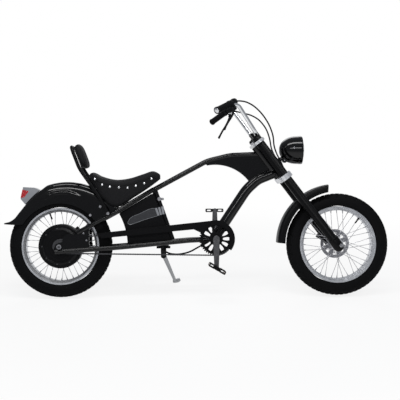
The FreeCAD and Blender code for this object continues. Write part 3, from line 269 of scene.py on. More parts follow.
def glass_material():
    """Clear moulded glass with upright flutes."""
    material, nodes, links, shader, place = new_material("lamp_glass", (0.86, 0.9, 0.92), 0.08)
    shader.inputs["Transmission Weight"].default_value = 0.75
    shader.inputs["IOR"].default_value = 1.45
    flutes = nodes.new("ShaderNodeTexWave")
    flutes.inputs["Scale"].default_value = 60
    flutes.bands_direction = "Y"
    links.new(place, flutes.inputs["Vector"])
    bump(nodes, links, shader, flutes.outputs["Fac"], 0.4, 0.0008)
    return material


FINISHES = {}

NODE_FINISH = {
    "gloss paint": ["head_tube", "top_tube", "down_tube", "frame_gusset", "seat_tube", "bottom_bracket_shell",
                    "chainstays", "rear_stays", "rear_mudguard", "headlamp_shell"],
    "satin paint": ["fork_legs", "bar_clamps", "sissy_bar", "chain_guard", "stand_bracket", "front_mudguard",
                    "front_brake_caliper", "rear_brake_caliper"],
    "dull black": [
        "brake_levers", "battery_cable", "bar_cables", "front_brake_hose", "pedal_right", "pedal_left",
    ],
    "motor black": ["hub_motor", "chainring"],
    "rubber": ["front_tyre", "rear_tyre"],
    "grip rubber": ["grips"],
    "alloy": ["fork_crown", "upper_clamp", "front_hub"],
    "rim alloy": ["front_rim", "rear_rim"],
    "steel": ["front_spokes", "rear_spokes", "front_brake_disc", "rear_brake_disc", "front_axle"],
    "dark steel": ["chain", "rear_sprocket", "rear_axle", "crank_arms"],
    "chrome": ["handlebar", "tail_lamp_housing"],
    "stand alloy": ["kickstand"],
    "case plastic": ["battery_case"],
    "leather": ["saddle", "backrest_pad"],
    "tail lens": ["tail_lamp_lens"],
    "clear lens": ["headlamp_lens"],
}


def wear(piece, finish):
    """Gives a piece one finish."""
    piece.data.materials.clear()
    piece.data.materials.append(FINISHES[finish])


# ------------------------------------------------------------------ surfaces


def grid_faces(rows, columns, wrap_rows=False, wrap_columns=False):
    """Quads that join a grid of rows by columns, closed on itself where asked."""
    r = np.arange(rows if wrap_rows else rows - 1)
    c = np.arange(columns if wrap_columns else columns - 1)
    i, j = np.meshgrid(r, c, indexing="ij")
    down, right = (i + 1) % rows, (j + 1) % columns
    corners = [i * columns + j, i * columns + right, down * columns + right, down * columns + j]
    return np.stack(corners, -1).reshape(-1, 4)


def mesh_piece(name, points, faces, body, finish, smooth=True, angle=None):
    """A new piece from points and faces in the floor frame, riding on a body."""
    mesh = bpy.data.meshes.new(name)
    mesh.from_pydata(np.asarray(points).reshape(-1, 3).tolist(), [], [list(map(int, f)) for f in faces])
    mesh.update()
    piece = bpy.data.objects.new(name, mesh)
    bpy.context.scene.collection.objects.link(piece)
    if smooth:
        mesh.shade_smooth()
        if angle is not None:
            mesh.set_sharp_from_angle(angle=math.radians(angle))
    wear(piece, finish)
    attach(piece, body)
    return piece


# ------------------------------------------------------------------ stage


def build_stage():
    """A pale floor and backdrop, soft lamps, and a camera square to the leaning bicycle."""
    scene = bpy.context.scene
    scene.view_settings.view_transform = "Standard"
    mesh = bpy.data.meshes.new("floor")
    reach = 14.0
    corners = [(-reach, -reach, 0), (reach, -reach, 0), (reach, reach, 0), (-reach, reach, 0)]
    mesh.from_pydata(corners, [], [(0, 1, 2, 3)])
    floor = bpy.data.objects.new("floor", mesh)
    scene.collection.objects.link(floor)
    floor.location.z = -0.0005
    material, nodes, links, shader, place = new_material("pale_floor", (0.96, 0.96, 0.96), 0.9)
    glow = nodes.new("ShaderNodeEmission")
    glow.inputs["Strength"].default_value = 1.0
    mix = nodes.new("ShaderNodeMixShader")
    ray = nodes.new("ShaderNodeLightPath")
    share = nodes.new("ShaderNodeMath")
    share.operation = "MAXIMUM"
    dimmed = nodes.new("ShaderNodeMath")
    dimmed.operation = "MULTIPLY"
    dimmed.inputs[1].default_value = 0.45
    links.new(ray.outputs["Is Glossy Ray"], dimmed.inputs[0])
    links.new(ray.outputs["Is Camera Ray"], share.inputs[0])
    links.new(dimmed.outputs[0], share.inputs[1])
    away = nodes.new("ShaderNodeVectorMath")
    away.operation = "DISTANCE"
    away.inputs[1].default_value = (0.75, 0.1, 0)
    links.new(place, away.inputs[0])
    rising = nodes.new("ShaderNodeMapRange")
    rising.interpolation_type = "SMOOTHSTEP"
    for socket, value in (("From Min", 0.9), ("From Max", 2.4), ("To Min", 0.84), ("To Max", 1.0)):
        rising.inputs[socket].default_value = value
    links.new(away.outputs["Value"], rising.inputs["Value"])
    part = nodes.new("ShaderNodeMath")
    part.operation = "MULTIPLY"
    links.new(rising.outputs["Result"], part.inputs[1])
    links.new(share.outputs[0], part.inputs[0])
    links.new(part.outputs[0], mix.inputs["Fac"])
    links.new(shader.outputs["BSDF"], mix.inputs[1])
    links.new(glow.outputs["Emission"], mix.inputs[2])
    links.new(mix.outputs["Shader"], nodes["Material Output"].inputs["Surface"])
    mesh.materials.append(material)

    world = bpy.data.worlds.new("studio")
    scene.world = world
    world.use_nodes = True
    nodes, links = world.node_tree.nodes, world.node_tree.links
    nodes.clear()
    out = nodes.new("ShaderNodeOutputWorld")
    seen = nodes.new("ShaderNodeBackground")
    seen.inputs["Color"].default_value = (1, 1, 1, 1)
    lit = nodes.new("ShaderNodeBackground")
    lit.inputs["Color"].default_value = (0.9, 0.93, 1, 1)
    lit.inputs["Strength"].default_value = 0.30
    ray = nodes.new("ShaderNodeLightPath")
    add = nodes.new("ShaderNodeMath")
    add.operation = "MAXIMUM"
    links.new(ray.outputs["Is Camera Ray"], add.inputs[0])
    links.new(ray.outputs["Is Transmission Ray"], add.inputs[1])
    mix = nodes.new("ShaderNodeMixShader")
    links.new(add.outputs[0], mix.inputs["Fac"])
    links.new(lit.outputs[0], mix.inputs[1])
    links.new(seen.outputs[0], mix.inputs[2])
    links.new(mix.outputs["Shader"], out.inputs["Surface"])

    for name, place, turn, width, depth, power in (
        ("lamp_over", (0.7, -0.6, 3.0), (10, 0, 0), 3.2, 0.40, 46),
        ("lamp_front", (0.4, -3.4, 2.6), (60, 0, 0), 3.0, 0.22, 30),
        ("lamp_back", (1.2, 3.2, 2.2), (-62, 0, 0), 2.6, 1.2, 24),
    ):
        light = bpy.data.lights.new(name, "AREA")
        light.shape = "RECTANGLE"
        light.size, light.size_y = width, depth
        light.energy = power
        lamp = bpy.data.objects.new(name, light)
        lamp.location = place
        lamp.rotation_euler = [math.radians(a) for a in turn]
        scene.collection.objects.link(lamp)

    distance = sizes().camera_distance
    aim_x, aim_z, yaw = 0.7615, 0.2476, math.radians(1.5)
    camera_data = bpy.data.cameras.new("camera")
    camera_data.sensor_width = 36
    camera_data.lens = 72.1
    camera = bpy.data.objects.new("camera", camera_data)
    spot = leaned((aim_x - distance * math.sin(yaw), -distance * math.cos(yaw), aim_z))
    camera.location = spot
    camera.rotation_mode = "XYZ"
    camera.rotation_euler = (math.radians(90) - LEAN, 0, -yaw)
    scene.collection.objects.link(camera)
    scene.camera = camera


class ChopperStage(Operator):
    """Floor, lamps and camera"""

    bl_idname = "chopper.stage"
    bl_label = "Stage"

    def execute(self, context):
        build_stage()
        return {"FINISHED"}


class ChopperFinishes(Operator):
    """Materials for every construction piece"""

    bl_idname = "chopper.finishes"
    bl_label = "Finishes"

    def execute(self, context):
        FINISHES.update(make_materials())
        for finish, names in NODE_FINISH.items():
            for name in names:
                wear(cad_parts[name], finish)
        return {"FINISHED"}


# ------------------------------------------------------------------ tyres


def wheel_points(radius, around, across, forward):
    """Points of a wheel: a radius and an angle about the axle, and a place along it."""
    ring = [forward + radius * np.cos(around), across + 0 * around, radius * np.sin(around)]
    return leaned(np.stack(ring, -1))


def build_tyre(prefix, forward):
    """A round section carried round the wheel. The outside is sunk by grooves between rows of blocks:
    two unbroken grooves either side of the crown, and slanted cuts whose slant turns over at the crown."""
    s = sizes()
    blocks, depth = s.tread_blocks, s.tread_depth
    columns = blocks * 8
    around = np.linspace(0, 2 * np.pi, columns, endpoint=False)
    limit = math.radians(113)
    outer = np.linspace(-limit, limit, 97)
    inner = np.linspace(limit * 0.93, -limit * 0.93, 21)
    u, v = np.meshgrid(around, outer, indexing="ij")
    phase = (u * blocks / (2 * np.pi) + np.abs(v) * 0.9) % 1.0
    cut = np.clip((0.16 - np.abs(phase - 0.5)) / 0.06, 0, 1)
    half = (u * blocks / (2 * np.pi) * 0.5 - np.abs(v) * 0.6) % 1.0
    shoulder_cut = np.clip((0.12 - np.abs(half - 0.5)) / 0.05, 0, 1)
    band = np.clip((math.radians(34) - np.abs(v)) / 0.03, 0, 1)
    shoulder = np.clip((np.abs(v) - math.radians(36)) / 0.03, 0, 1)
    shoulder = shoulder * np.clip((math.radians(60) - np.abs(v)) / 0.05, 0, 1)
    rings = np.clip((math.radians(1.6) - np.abs(np.abs(v) - math.radians(12))) / 0.01, 0, 1)
    rings = np.maximum(rings, np.clip((math.radians(1.8) - np.abs(np.abs(v) - math.radians(35))) / 0.01, 0, 1))
    sunk = depth * np.maximum(np.maximum(cut * band, shoulder_cut * shoulder), rings)
    wall_line = np.clip((math.radians(0.9) - np.abs(np.abs(v) - math.radians(84))) / 0.008, 0, 1) * 0.0008
    r = TYRE_SECTION - sunk - wall_line - 0.0004
    radius = TYRE_RING + r * np.cos(v)
    across = r * np.sin(v)
    ui, vi = np.meshgrid(around, inner, indexing="ij")
    ri = TYRE_SECTION - 0.0045
    radius = np.concatenate([radius, TYRE_RING + ri * np.cos(vi)], 1)
    across = np.concatenate([across, ri * np.sin(vi)], 1)
    u = np.concatenate([u, ui], 1)
    points = wheel_points(radius, u, across, forward)
    faces = grid_faces(u.shape[0], u.shape[1], True, True)
    piece = mesh_piece(prefix + "_tyre_tread", points, faces, prefix + "_wheel", "rubber", True, 40)
    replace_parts(piece, prefix + "_tyre")


class ChopperTyres(Operator):
    """Fat tyres with a shallow road tread"""

    bl_idname = "chopper.tyres"
    bl_label = "Tyres"

    def execute(self, context):
        build_tyre("rear", 0.0)
        build_tyre("front", WHEELBASE)
        return {"FINISHED"}


# ------------------------------------------------------------------ saddle and backrest


def smooth_curve(places, heights, x):
    """A smooth curve through a few given points: cubic Hermite with slopes from the neighbours."""
    places, heights = np.asarray(places, float), np.asarray(heights, float)
    slopes = np.gradient(heights, places)
    i = np.clip(np.searchsorted(places, x) - 1, 0, len(places) - 2)
    step = places[i + 1] - places[i]
    t = np.clip((x - places[i]) / step, 0, 1)
    a, b = (1 + 2 * t) * (1 - t) ** 2, t * (1 - t) ** 2
    c, d = t * t * (3 - 2 * t), t * t * (t - 1)
    return a * heights[i] + b * step * slopes[i] + c * heights[i + 1] + d * step * slopes[i + 1]


SADDLE_BACK, SADDLE_FRONT = 0.159, 0.542


def saddle_top(x):
    """Height of the saddle's crown."""
    return smooth_curve([0.155, 0.175, 0.225, 0.300, 0.380, 0.450, 0.510, 0.545],
                        [0.397, 0.403, 0.380, 0.361, 0.369, 0.391, 0.407, 0.392], x)


def saddle_edge(x):
    """Height of the skirt's lower edge: down to a point over the upper stay, then up along it."""
    return smooth_curve([0.155, 0.190, 0.230, 0.262, 0.300, 0.400, 0.500, 0.545],
                        [0.378, 0.322, 0.258, 0.226, 0.213, 0.266, 0.331, 0.362], x)


def saddle_half(x):
    """Half of the saddle's width."""
    places = [0.155, 0.200, 0.262, 0.350, 0.450, 0.545]
    return smooth_curve(places, [0.082, 0.089, 0.090, 0.080, 0.062, 0.042], x)


def build_saddle():
    """Rings across the saddle: each is a flat-sided dome over a boxy skirt, and the rings draw in at both
    ends along a rounded end line."""
    rows, columns = 120, 96
    s = np.linspace(0, 1, rows)
    ease = 0.5 - 0.5 * np.cos(np.pi * s)
    x = SADDLE_BACK + (SADDLE_FRONT - SADDLE_BACK) * ease
    draw_in = (1 - np.abs(2 * ease - 1) ** 7) ** (1 / 7)
    top, edge, half = saddle_top(x), saddle_edge(x), saddle_half(x) * np.maximum(draw_in, 0.02)
    shoulder = top - 0.034
    edge = np.minimum(edge, shoulder - 0.004)
    middle = (top + edge) / 2
    top = middle + (top - middle) * np.maximum(draw_in, 0.02)
    edge = middle + (edge - middle) * np.maximum(draw_in, 0.02)
    shoulder = np.clip(shoulder, edge + 0.1 * (top - edge), top - 0.05 * (top - edge))
    t = np.linspace(0, 2 * np.pi, columns, endpoint=False)
    X, T = np.meshgrid(x, t, indexing="ij")
    up = np.sin(T) > 0
    power = np.where(up, 2 / 2.7, 2 / 9.0)
    side = np.sign(np.cos(T)) * np.abs(np.cos(T)) ** np.where(up, 2 / 2.7, 2 / 9.0)
    rise = np.abs(np.sin(T)) ** power
    Z = np.where(up, shoulder[:, None] + (top - shoulder)[:, None] * rise,
                 shoulder[:, None] - (shoulder - edge)[:, None] * rise)
    Y = side * half[:, None] * (1 - 0.05 * np.where(up, 0, rise))
    points = leaned(np.stack([X, Y, Z], -1))
    faces = grid_faces(rows, columns, False, True)[:, ::-1]
    caps = [list(range(columns)), list(range((rows - 1) * columns, rows * columns))[::-1]]
    piece = mesh_piece("saddle_cover", points, list(faces) + caps, "frame", "leather", True, 60)
    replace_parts(piece, "saddle")


class ChopperSaddle(Operator):
    """Saddle cover"""

    bl_idname = "chopper.saddle"
    bl_label = "Saddle"

    def execute(self, context):
        build_saddle()
        return {"FINISHED"}


PAD_CENTRE = np.array([0.118, 0.0, 0.489])
PAD_TILT = math.radians(20.6)


def build_backrest():
    """A rounded pad: a superellipse outline whose thickness swells from a sewn rim to a full crown."""
    rows, columns = 48, 96
    rim = np.linspace(0, 2 * np.pi, columns, endpoint=False)
    out = np.concatenate([np.linspace(0.02, 1, rows), np.linspace(0.985, 0.02, rows - 1)])
    front = np.concatenate([np.ones(rows), -np.ones(rows - 1)])
    O, A = np.meshgrid(out, rim, indexing="ij")
    F = front[:, None] + 0 * A
    wide = 0.0995 * np.sign(np.cos(A)) * np.abs(np.cos(A)) ** (2 / 3.6) * O
    tall = 0.068 * np.sign(np.sin(A)) * np.abs(np.sin(A)) ** (2 / 3.6) * O
    swell = (1 - O ** 5) ** 0.45
    thick = np.where(F > 0, 0.0195 * swell, -0.0195 * (1 - O ** 12) ** 0.5)
    seam = 0.003 * np.exp(-((O - 0.80) / 0.02) ** 2) * (F > 0)
    thick = thick - seam
    forward = PAD_CENTRE[0] + thick * math.cos(PAD_TILT) - tall * math.sin(PAD_TILT)
    upward = PAD_CENTRE[2] + thick * math.sin(PAD_TILT) + tall * math.cos(PAD_TILT)
    points = leaned(np.stack([forward, wide, upward], -1))
    count = len(out)
    faces = list(grid_faces(count, columns, False, True))
    caps = [list(range(columns))[::-1], list(range((count - 1) * columns, count * columns))]
    piece = mesh_piece("backrest_cover", points, faces + caps, "frame", "leather", True, 60)
    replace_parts(piece, "backrest_pad")


class ChopperBackrest(Operator):
    """Backrest pad with its sewn rim"""

    bl_idname = "chopper.backrest"
    bl_label = "Backrest"

    def execute(self, context):
        build_backrest()
        return {"FINISHED"}


# ------------------------------------------------------------------ shells, in millimetres


def unit(vector):
    """The same direction at length one."""
    vector = np.asarray(vector, float)
    return vector / np.linalg.norm(vector)


def side_axes(axis, hint=(0.0, 0.0, 1.0)):
    """Two directions square to an axis, right-handed with it."""
    axis = unit(axis)
    if abs(np.dot(axis, unit(hint))) > 0.98:
        hint = (1.0, 0.0, 0.0)
    u = unit(np.cross(hint, axis))
    return u, np.cross(axis, u)


def round_shell(profile, centre, axis, columns=24):
    """A profile of (radius, place along the axis) carried round the axis, closed flat at both ends."""
    r, along = np.asarray(profile, float).T
    axis = unit(axis)
    u, v = side_axes(axis)
    turn = np.linspace(0, 2 * np.pi, columns, endpoint=False)
    ring = np.cos(turn)[:, None] * u + np.sin(turn)[:, None] * v
    points = np.asarray(centre, float) + along[:, None, None] * axis + r[:, None, None] * ring
    return closed_rows(points)


def closed_rings(rows):
    """Rows of closed loops joined one to the next, and the last to the first."""
    rows = np.asarray(rows)
    count, columns = rows.shape[:2]
    return rows.reshape(-1, 3), [tuple(f) for f in grid_faces(count, columns, True, True)]


def closed_rows(points):
    """Rows of closed loops joined one to the next, with a face over the first and the last."""
    rows, columns = points.shape[:2]
    faces = [tuple(f) for f in grid_faces(rows, columns, False, True)]
    faces.append(tuple(range(columns))[::-1])
    faces.append(tuple(range((rows - 1) * columns, rows * columns)))
    return points.reshape(-1, 3), faces


def along_path(path, count):
    """A smooth run through a few given points."""
    path = np.asarray(path, float)
    place = np.concatenate([[0], np.cumsum(np.linalg.norm(np.diff(path, axis=0), axis=1))])
    at = np.linspace(0, place[-1], count)
    return np.stack([smooth_curve(place, path[:, i], at) for i in range(3)], -1), at / place[-1]


def tube_shell(path, wide, tall=None, columns=16, hint=(0.0, 0.0, 1.0), power=2.0):
    """A rounded section carried along a path. Wide and tall are its half sizes, one for each place."""
    path = np.asarray(path, float)
    wide = np.broadcast_to(np.asarray(wide, float), len(path))
    tall = wide if tall is None else np.broadcast_to(np.asarray(tall, float), len(path))
    ahead = np.gradient(path, axis=0)
    ahead /= np.linalg.norm(ahead, axis=1)[:, None]
    u = np.cross(np.broadcast_to(hint, ahead.shape), ahead)
    u /= np.linalg.norm(u, axis=1)[:, None]
    v = np.cross(ahead, u)
    turn = np.linspace(0, 2 * np.pi, columns, endpoint=False)
    c = np.sign(np.cos(turn)) * np.abs(np.cos(turn)) ** (2 / power)
    s = np.sign(np.sin(turn)) * np.abs(np.sin(turn)) ** (2 / power)
    across = (wide[:, None] * c)[..., None] * u[:, None]
    upwards = (tall[:, None] * s)[..., None] * v[:, None]
    return closed_rows(path[:, None] + across + upwards)


def clockwise(outline):
    """The outline as (forward, up) points, turned so that its outside lies on the left of its run."""
    outline = np.asarray(outline, float)
    x, z = outline.T
    area = np.sum(x * np.roll(z, -1) - np.roll(x, -1) * z)
    return outline[::-1] if area > 0 else outline


def drawn_in(outline, by):
    """A clockwise outline moved inwards."""
    before, after = outline - np.roll(outline, 1, 0), np.roll(outline, -1, 0) - outline
    before /= np.linalg.norm(before, axis=1)[:, None]
    after /= np.linalg.norm(after, axis=1)[:, None]
    inward = np.stack([before[:, 1] + after[:, 1], -before[:, 0] - after[:, 0]], -1)
    share = 1 + np.sum(before * after, axis=1)
    return outline + by * inward / np.maximum(share, 0.4)[:, None]


def slab_shell(outline, lateral, thickness, bevel=1.0, centre=(0.0, 0.0), turn=0.0):
    """A plate in the side view with bevelled edges, turned about a centre by an angle."""
    outline = clockwise(outline)
    inner = drawn_in(outline, bevel)
    half = thickness / 2
    loops = ((inner, -half), (outline, bevel - half), (outline, half - bevel), (inner, half))
    rows = []
    for loop, y in loops:
        x = centre[0] + loop[:, 0] * math.cos(turn) + loop[:, 1] * math.sin(turn)
        z = centre[1] - loop[:, 0] * math.sin(turn) + loop[:, 1] * math.cos(turn)
        rows.append(np.stack([x, np.full(len(x), lateral + y), z], -1))
    return closed_rows(np.array(rows))


def ring_shell(outer, inner, low, high, bevel=1.0):
    """A loop between two outlines with the same number of points, from one lateral place to another."""
    outer, inner = clockwise(outer), clockwise(inner)
    edge = drawn_in(outer, bevel)
    loops = (
        (outer, low + bevel), (outer, high - bevel), (edge, high), (inner, high), (inner, low), (edge, low),
    )
    return closed_rings([np.stack([loop[:, 0], np.full(len(loop), y), loop[:, 1]], -1) for loop, y in loops])


def on_circle(centre, radius, angle):
    """A side-view point on a circle."""
    return (centre[0] + radius * math.cos(angle), centre[1] + radius * math.sin(angle))


def rounded_box(length, height, corner, steps=5):
    """The outline of a rectangle with round corners about its own centre."""
    spots = []
    for ahead, up, start in ((1, 1, 0), (-1, 1, 90), (-1, -1, 180), (1, -1, 270)):
        middle = (ahead * (length / 2 - corner), up * (height / 2 - corner))
        spots += [on_circle(middle, corner, a) for a in np.radians(start + np.linspace(0, 90, steps))]
    return spots


def hull_of_circles(first, second, steps=14):
    """The outline round two circles, each as (forward, up, radius)."""
    a, b = np.array(first[:2], float), np.array(second[:2], float)
    run = b - a
    heading = math.atan2(run[1], run[0])
    tangent = math.acos((first[2] - second[2]) / np.linalg.norm(run))
    around_first = heading + np.linspace(tangent, 2 * math.pi - tangent, steps)
    around_second = heading + np.linspace(-tangent, tangent, steps)
    spots = [on_circle(a, first[2], t) for t in around_first]
    return spots + [on_circle(b, second[2], t) for t in around_second]


def bolt(centre, axis, radius=5.0, height=4.0):
    """A socket bolt's head."""
    edge, sunk = 0.7, 0.5
    head = [(radius, -sunk), (radius, height - edge), (radius - edge, height)]
    socket = [(radius * 0.55, height), (radius * 0.5, height * 0.45)]
    return round_shell(head + socket, centre, axis, 18)


def dome(centre, axis, radius, height):
    """A round-headed stud."""
    rise = np.linspace(0, 0.49 * np.pi, 7)
    foot = 0.4
    crown = [(radius * math.cos(a), foot + (height - foot) * math.sin(a)) for a in rise]
    return round_shell([(radius, -0.6)] + crown, centre, axis, 20)


def assemble(name, shells, body, finish, angle=35):
    """One piece from several shells."""
    points, faces, count = [], [], 0
    for spots, loops in shells:
        points.append(spots)
        faces += [tuple(int(i) + count for i in loop) for loop in loops]
        count += len(spots)
    spots = leaned(np.concatenate(points) / 1000)
    return mesh_piece(name, spots, faces, body, finish, True, angle)


RAKE = math.radians(37)
ALONG_LEG = np.array([-math.sin(RAKE), 0, math.cos(RAKE)])
BEHIND_LEG = np.array([-math.cos(RAKE), 0, -math.sin(RAKE)])
FRONT_AXLE = np.array([WHEELBASE * 1000, 0, 0])
LEG_PLACE, LEG_SETBACK, STEER_OFFSET = 100.0, 12.0, 30.0
LOWER_CLAMP, UPPER_CLAMP, LEG_TOP = 472.0, 710.0, 736.0
BRACKET = np.array([844.0, 0, 36.0])
CRANK_LENGTH, CRANK_PLACE, PEDAL_PLACE = 152.0, 92.0, 152.0
SIDES = (-1, 1)
LATERAL = np.array([0.0, 1.0, 0.0])


def on_fork(along, lateral=0.0, back=0.0):
    """A point by the fork's legs, measured from the front axle."""
    return FRONT_AXLE + ALONG_LEG * along + LATERAL * lateral + BEHIND_LEG * back


# ------------------------------------------------------------------ mudguards


def unit_rows(vectors):
    """Each row at length one."""
    return vectors / np.linalg.norm(vectors, axis=1)[:, None]


def guard_shell(outer, skirt, half, wall, rib=None):
    """A mudguard: at each place along its crown line the section runs from one skirt edge over a crown with
    round shoulders to the other, first outside and then back inside one wall thinner."""
    outer, skirt = np.asarray(outer, float), np.asarray(skirt, float)
    t = np.linspace(0.0, np.pi, 61)
    side = np.sign(np.cos(t)) * np.abs(np.cos(t)) ** 0.42
    rise = np.abs(np.sin(t)) ** 0.36
    rise[0] = rise[-1] = 0.0
    place = np.linspace(0, 1, len(outer))[:, None]
    push = 0.0 if rib is None else rib(place, rise[None, :], np.abs(side)[None, :])
    rows = []
    for thin, extra in ((0.0, push), (wall, 0.0)):
        down = unit_rows(skirt - outer)
        crown = outer + down * thin
        line = skirt[:, None] + (crown - skirt)[:, None] * rise[None, :, None]
        y = -(half - thin + extra) * side[None, :] + 0 * place
        rows.append(np.stack([line[..., 0], y, line[..., 1]], -1))
    section = np.concatenate([rows[0], rows[1][:, ::-1]], 1)
    return closed_rows(section)


def circle_spots(centre, radius, start, stop, count):
    """Points along a circle in the side view, angles in degrees."""
    angle = np.radians(np.linspace(start, stop, count))
    return np.stack([centre[0] + radius * np.cos(angle), centre[1] + radius * np.sin(angle)], -1)


def flat_curve(points, count):
    """A smooth side-view run through a few given points."""
    return along_path([(x, 0, z) for x, z in points], count)[0][:, [0, 2]]


GUARD_HALF, GUARD_WALL = 58.0, 3.0


def crescent_rib(place, rise, side):
    """How far the rear mudguard's side stands out: a crescent pressed into it, thin towards both ends."""
    across = (place - 0.40) / 0.165
    middle = 0.52 - 0.16 * across ** 2
    width = 0.085 * np.sqrt(np.clip(1 - across ** 2, 0, 1)) + 0.001
    height = 3.0
    return height * np.clip(1 - ((rise - middle) / width) ** 2, 0, 1) ** 0.6 * (side > 0.5)


def build_rear_mudguard():
    """The rear mudguard with its duck tail and pressed rib, and its bolts."""
    tail = [(-74, 330), (-158, 262), (-221, 186), (-248, 152), (-272, 136), (-299, 129)]
    crown = np.concatenate([circle_spots((38, 4), 345, 37, 108, 60), flat_curve(tail, 61)[1:]])
    front_edge = [(312, 208), (262, 168), (218, 140), (184, 141)]
    tail_edge = [(-199, 119.5), (-240, 118), (-275, 120), (-299, 122)]
    hem = np.concatenate([
        flat_curve(front_edge, 16),
        circle_spots((0, 0), 232, 38, 149, 74)[1:],
        flat_curve(tail_edge, 32)[1:],
    ])
    hem = hem[np.linspace(0, len(hem) - 1, len(crown)).round().astype(int)]
    shells = [guard_shell(crown, hem, GUARD_HALF, GUARD_WALL, crescent_rib)]
    piece = assemble("rear_mudguard_shell", shells, "frame", "gloss paint", 50)
    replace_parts(piece, "rear_mudguard")
    bolts = []
    for x, z, radius, height in ((218, 215, 7.5, 4), (164, 168, 7.5, 4), (222, 258, 5, 3)):
        for way in SIDES:
            bolts.append(bolt((x, way * (GUARD_HALF - 0.5), z), (0, way, 0), radius, height))
    assemble("rear_mudguard_bolts", bolts, "frame", "steel")


def build_front_mudguard():
    """The front mudguard and the ties that hold it to the fork's legs."""
    outer = circle_spots(FRONT_AXLE[[0, 2]], 333, 99, 178, 64)
    inner = circle_spots(FRONT_AXLE[[0, 2]], 291, 101, 178.5, 64)
    shells = [guard_shell(outer, inner, GUARD_HALF, GUARD_WALL)]
    for way in SIDES:
        tie = [(6, way * 56), (6, way * 84)][::way]
        shells += [round_shell(tie, on_fork(along), LATERAL, 16) for along in (300, 322)]
    piece = assemble("front_mudguard_shell", shells, "fork", "satin paint", 50)
    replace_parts(piece, "front_mudguard")


class ChopperMudguards(Operator):
    """Rounded mudguards with their bolts"""

    bl_idname = "chopper.mudguards"
    bl_label = "Mudguards"

    def execute(self, context):
        build_rear_mudguard()
        build_front_mudguard()
        return {"FINISHED"}


# ------------------------------------------------------------------ saddle trim


def build_saddle_trim():
    """Studs along both sides and piping round the shoulder."""
    studs = []
    radius = sizes().stud_radius * 1000
    line = ((193, 363), (232, 333), (273, 321), (321, 318), (367, 316), (411, 326), (456, 340), (495, 365))
    for x, z in line:
        for way in SIDES:
            out = float(saddle_half(np.array(x / 1000))) * 1000 * 0.985
            studs.append(dome((x, way * out, z), (0, way, 0.05), radius, 3.6))
    assemble("saddle_studs", studs, "frame", "chrome")
    x = np.linspace(168, 530, 60) / 1000
    lines = []
    for way in SIDES:
        shoulder = (saddle_top(x) - 0.034) * 1000
        path = np.stack([x * 1000, way * (saddle_half(x) * 1000 * 0.992), shoulder], -1)
        lines.append(tube_shell(path, 2.2, columns=10))
    assemble("saddle_piping", lines, "frame", "leather")


class ChopperSaddleTrim(Operator):
    """Studs and piping"""

    bl_idname = "chopper.saddle_trim"
    bl_label = "Saddle trim"

    def execute(self, context):
        build_saddle_trim()
        return {"FINISHED"}


# ------------------------------------------------------------------ wheels


RIM_BED = 187.0
SPOKES = 36


def build_nipples(prefix, centre, flange, place, crossing):
    """A nipple at each spoke's head, in line with the spoke."""
    shells = []
    for number in range(SPOKES):
        side = -place if number % 2 == 0 else place
        angle = 2 * math.pi * number / SPOKES
        hub = angle + (1 if (number // 2) % 2 else -1) * crossing
        foot = centre + np.array([flange * math.cos(hub), side, flange * math.sin(hub)])
        reach = np.array([RIM_BED * math.cos(angle), math.copysign(4, side), RIM_BED * math.sin(angle)])
        head = centre + reach
        shells.append(round_shell([(3.4, -0.5), (3.4, 3), (2.5, 4.5), (2.3, 14)], head, foot - head, 10))
    assemble(prefix + "_spoke_nipples", shells, prefix + "_wheel", "steel")


def build_valve(prefix, centre, angle):
    """A rubber valve with its cap, pointing at the hub."""
    out = np.array([math.cos(math.radians(angle)), 0, math.sin(math.radians(angle))])
    stem = [(6, -1), (6, 1.5), (3.8, 3), (3.6, 20)]
    cap = [(4.4, 21), (4.4, 31), (3.4, 33)]
    shells = [round_shell(stem + cap, centre + out * RIM_BED, -out, 16)]
    assemble(prefix + "_valve", shells, prefix + "_wheel", "dull black")


def build_motor_covers():
    """Bolts round each of the motor's covers, and raised rings on them."""
    bolts, rings = [], []
    count, reach, columns = 9, 98, 96
    turn = np.linspace(0, 2 * np.pi, columns, endpoint=False)
    for way in SIDES:
        for number in range(count):
            angle = 2 * math.pi * (number + 0.5) / count
            spot = (reach * math.cos(angle), way * 44, reach * math.sin(angle))
            bolts.append(bolt(spot, (0, way, 0), 4.5, 4))
        for radius in (48, 66, 84):
            ridge = ((radius + 2.5, 51.6), (radius + 1.5, 53.2), (radius - 1.5, 53.2), (radius - 2.5, 51.6))
            rings.append(closed_rings([
                np.stack([r * np.cos(turn), np.full(columns, way * y), -way * r * np.sin(turn)], -1)
                for r, y in ridge
            ]))
    assemble("motor_cover_bolts", bolts, "rear_wheel", "dark steel")
    assemble("motor_cover_rings", rings, "rear_wheel", "motor black")


class ChopperWheelParts(Operator):
    """Nipples, valves and the motor's cover details"""

    bl_idname = "chopper.wheel_parts"
    bl_label = "Wheel parts"

    def execute(self, context):
        rear_axle = np.zeros(3)
        build_nipples("rear", rear_axle, 120.0, 26.0, math.radians(4))
        build_nipples("front", FRONT_AXLE, 30.0, 36.0, math.radians(62))
        build_valve("rear", rear_axle, 109)
        build_valve("front", FRONT_AXLE, 48.5)
        build_motor_covers()
        return {"FINISHED"}


# ------------------------------------------------------------------ chain, chain wheels, cranks and pedals

CHAIN_PLACE = -57.0
RING_TEETH, SPROCKET_TEETH = 44, 18


def pitch_radius(teeth):
    """Radius at which a chain wheel's rollers lie, in millimetres."""
    return sizes().link_pitch * 1000 / (2 * math.sin(math.pi / teeth))


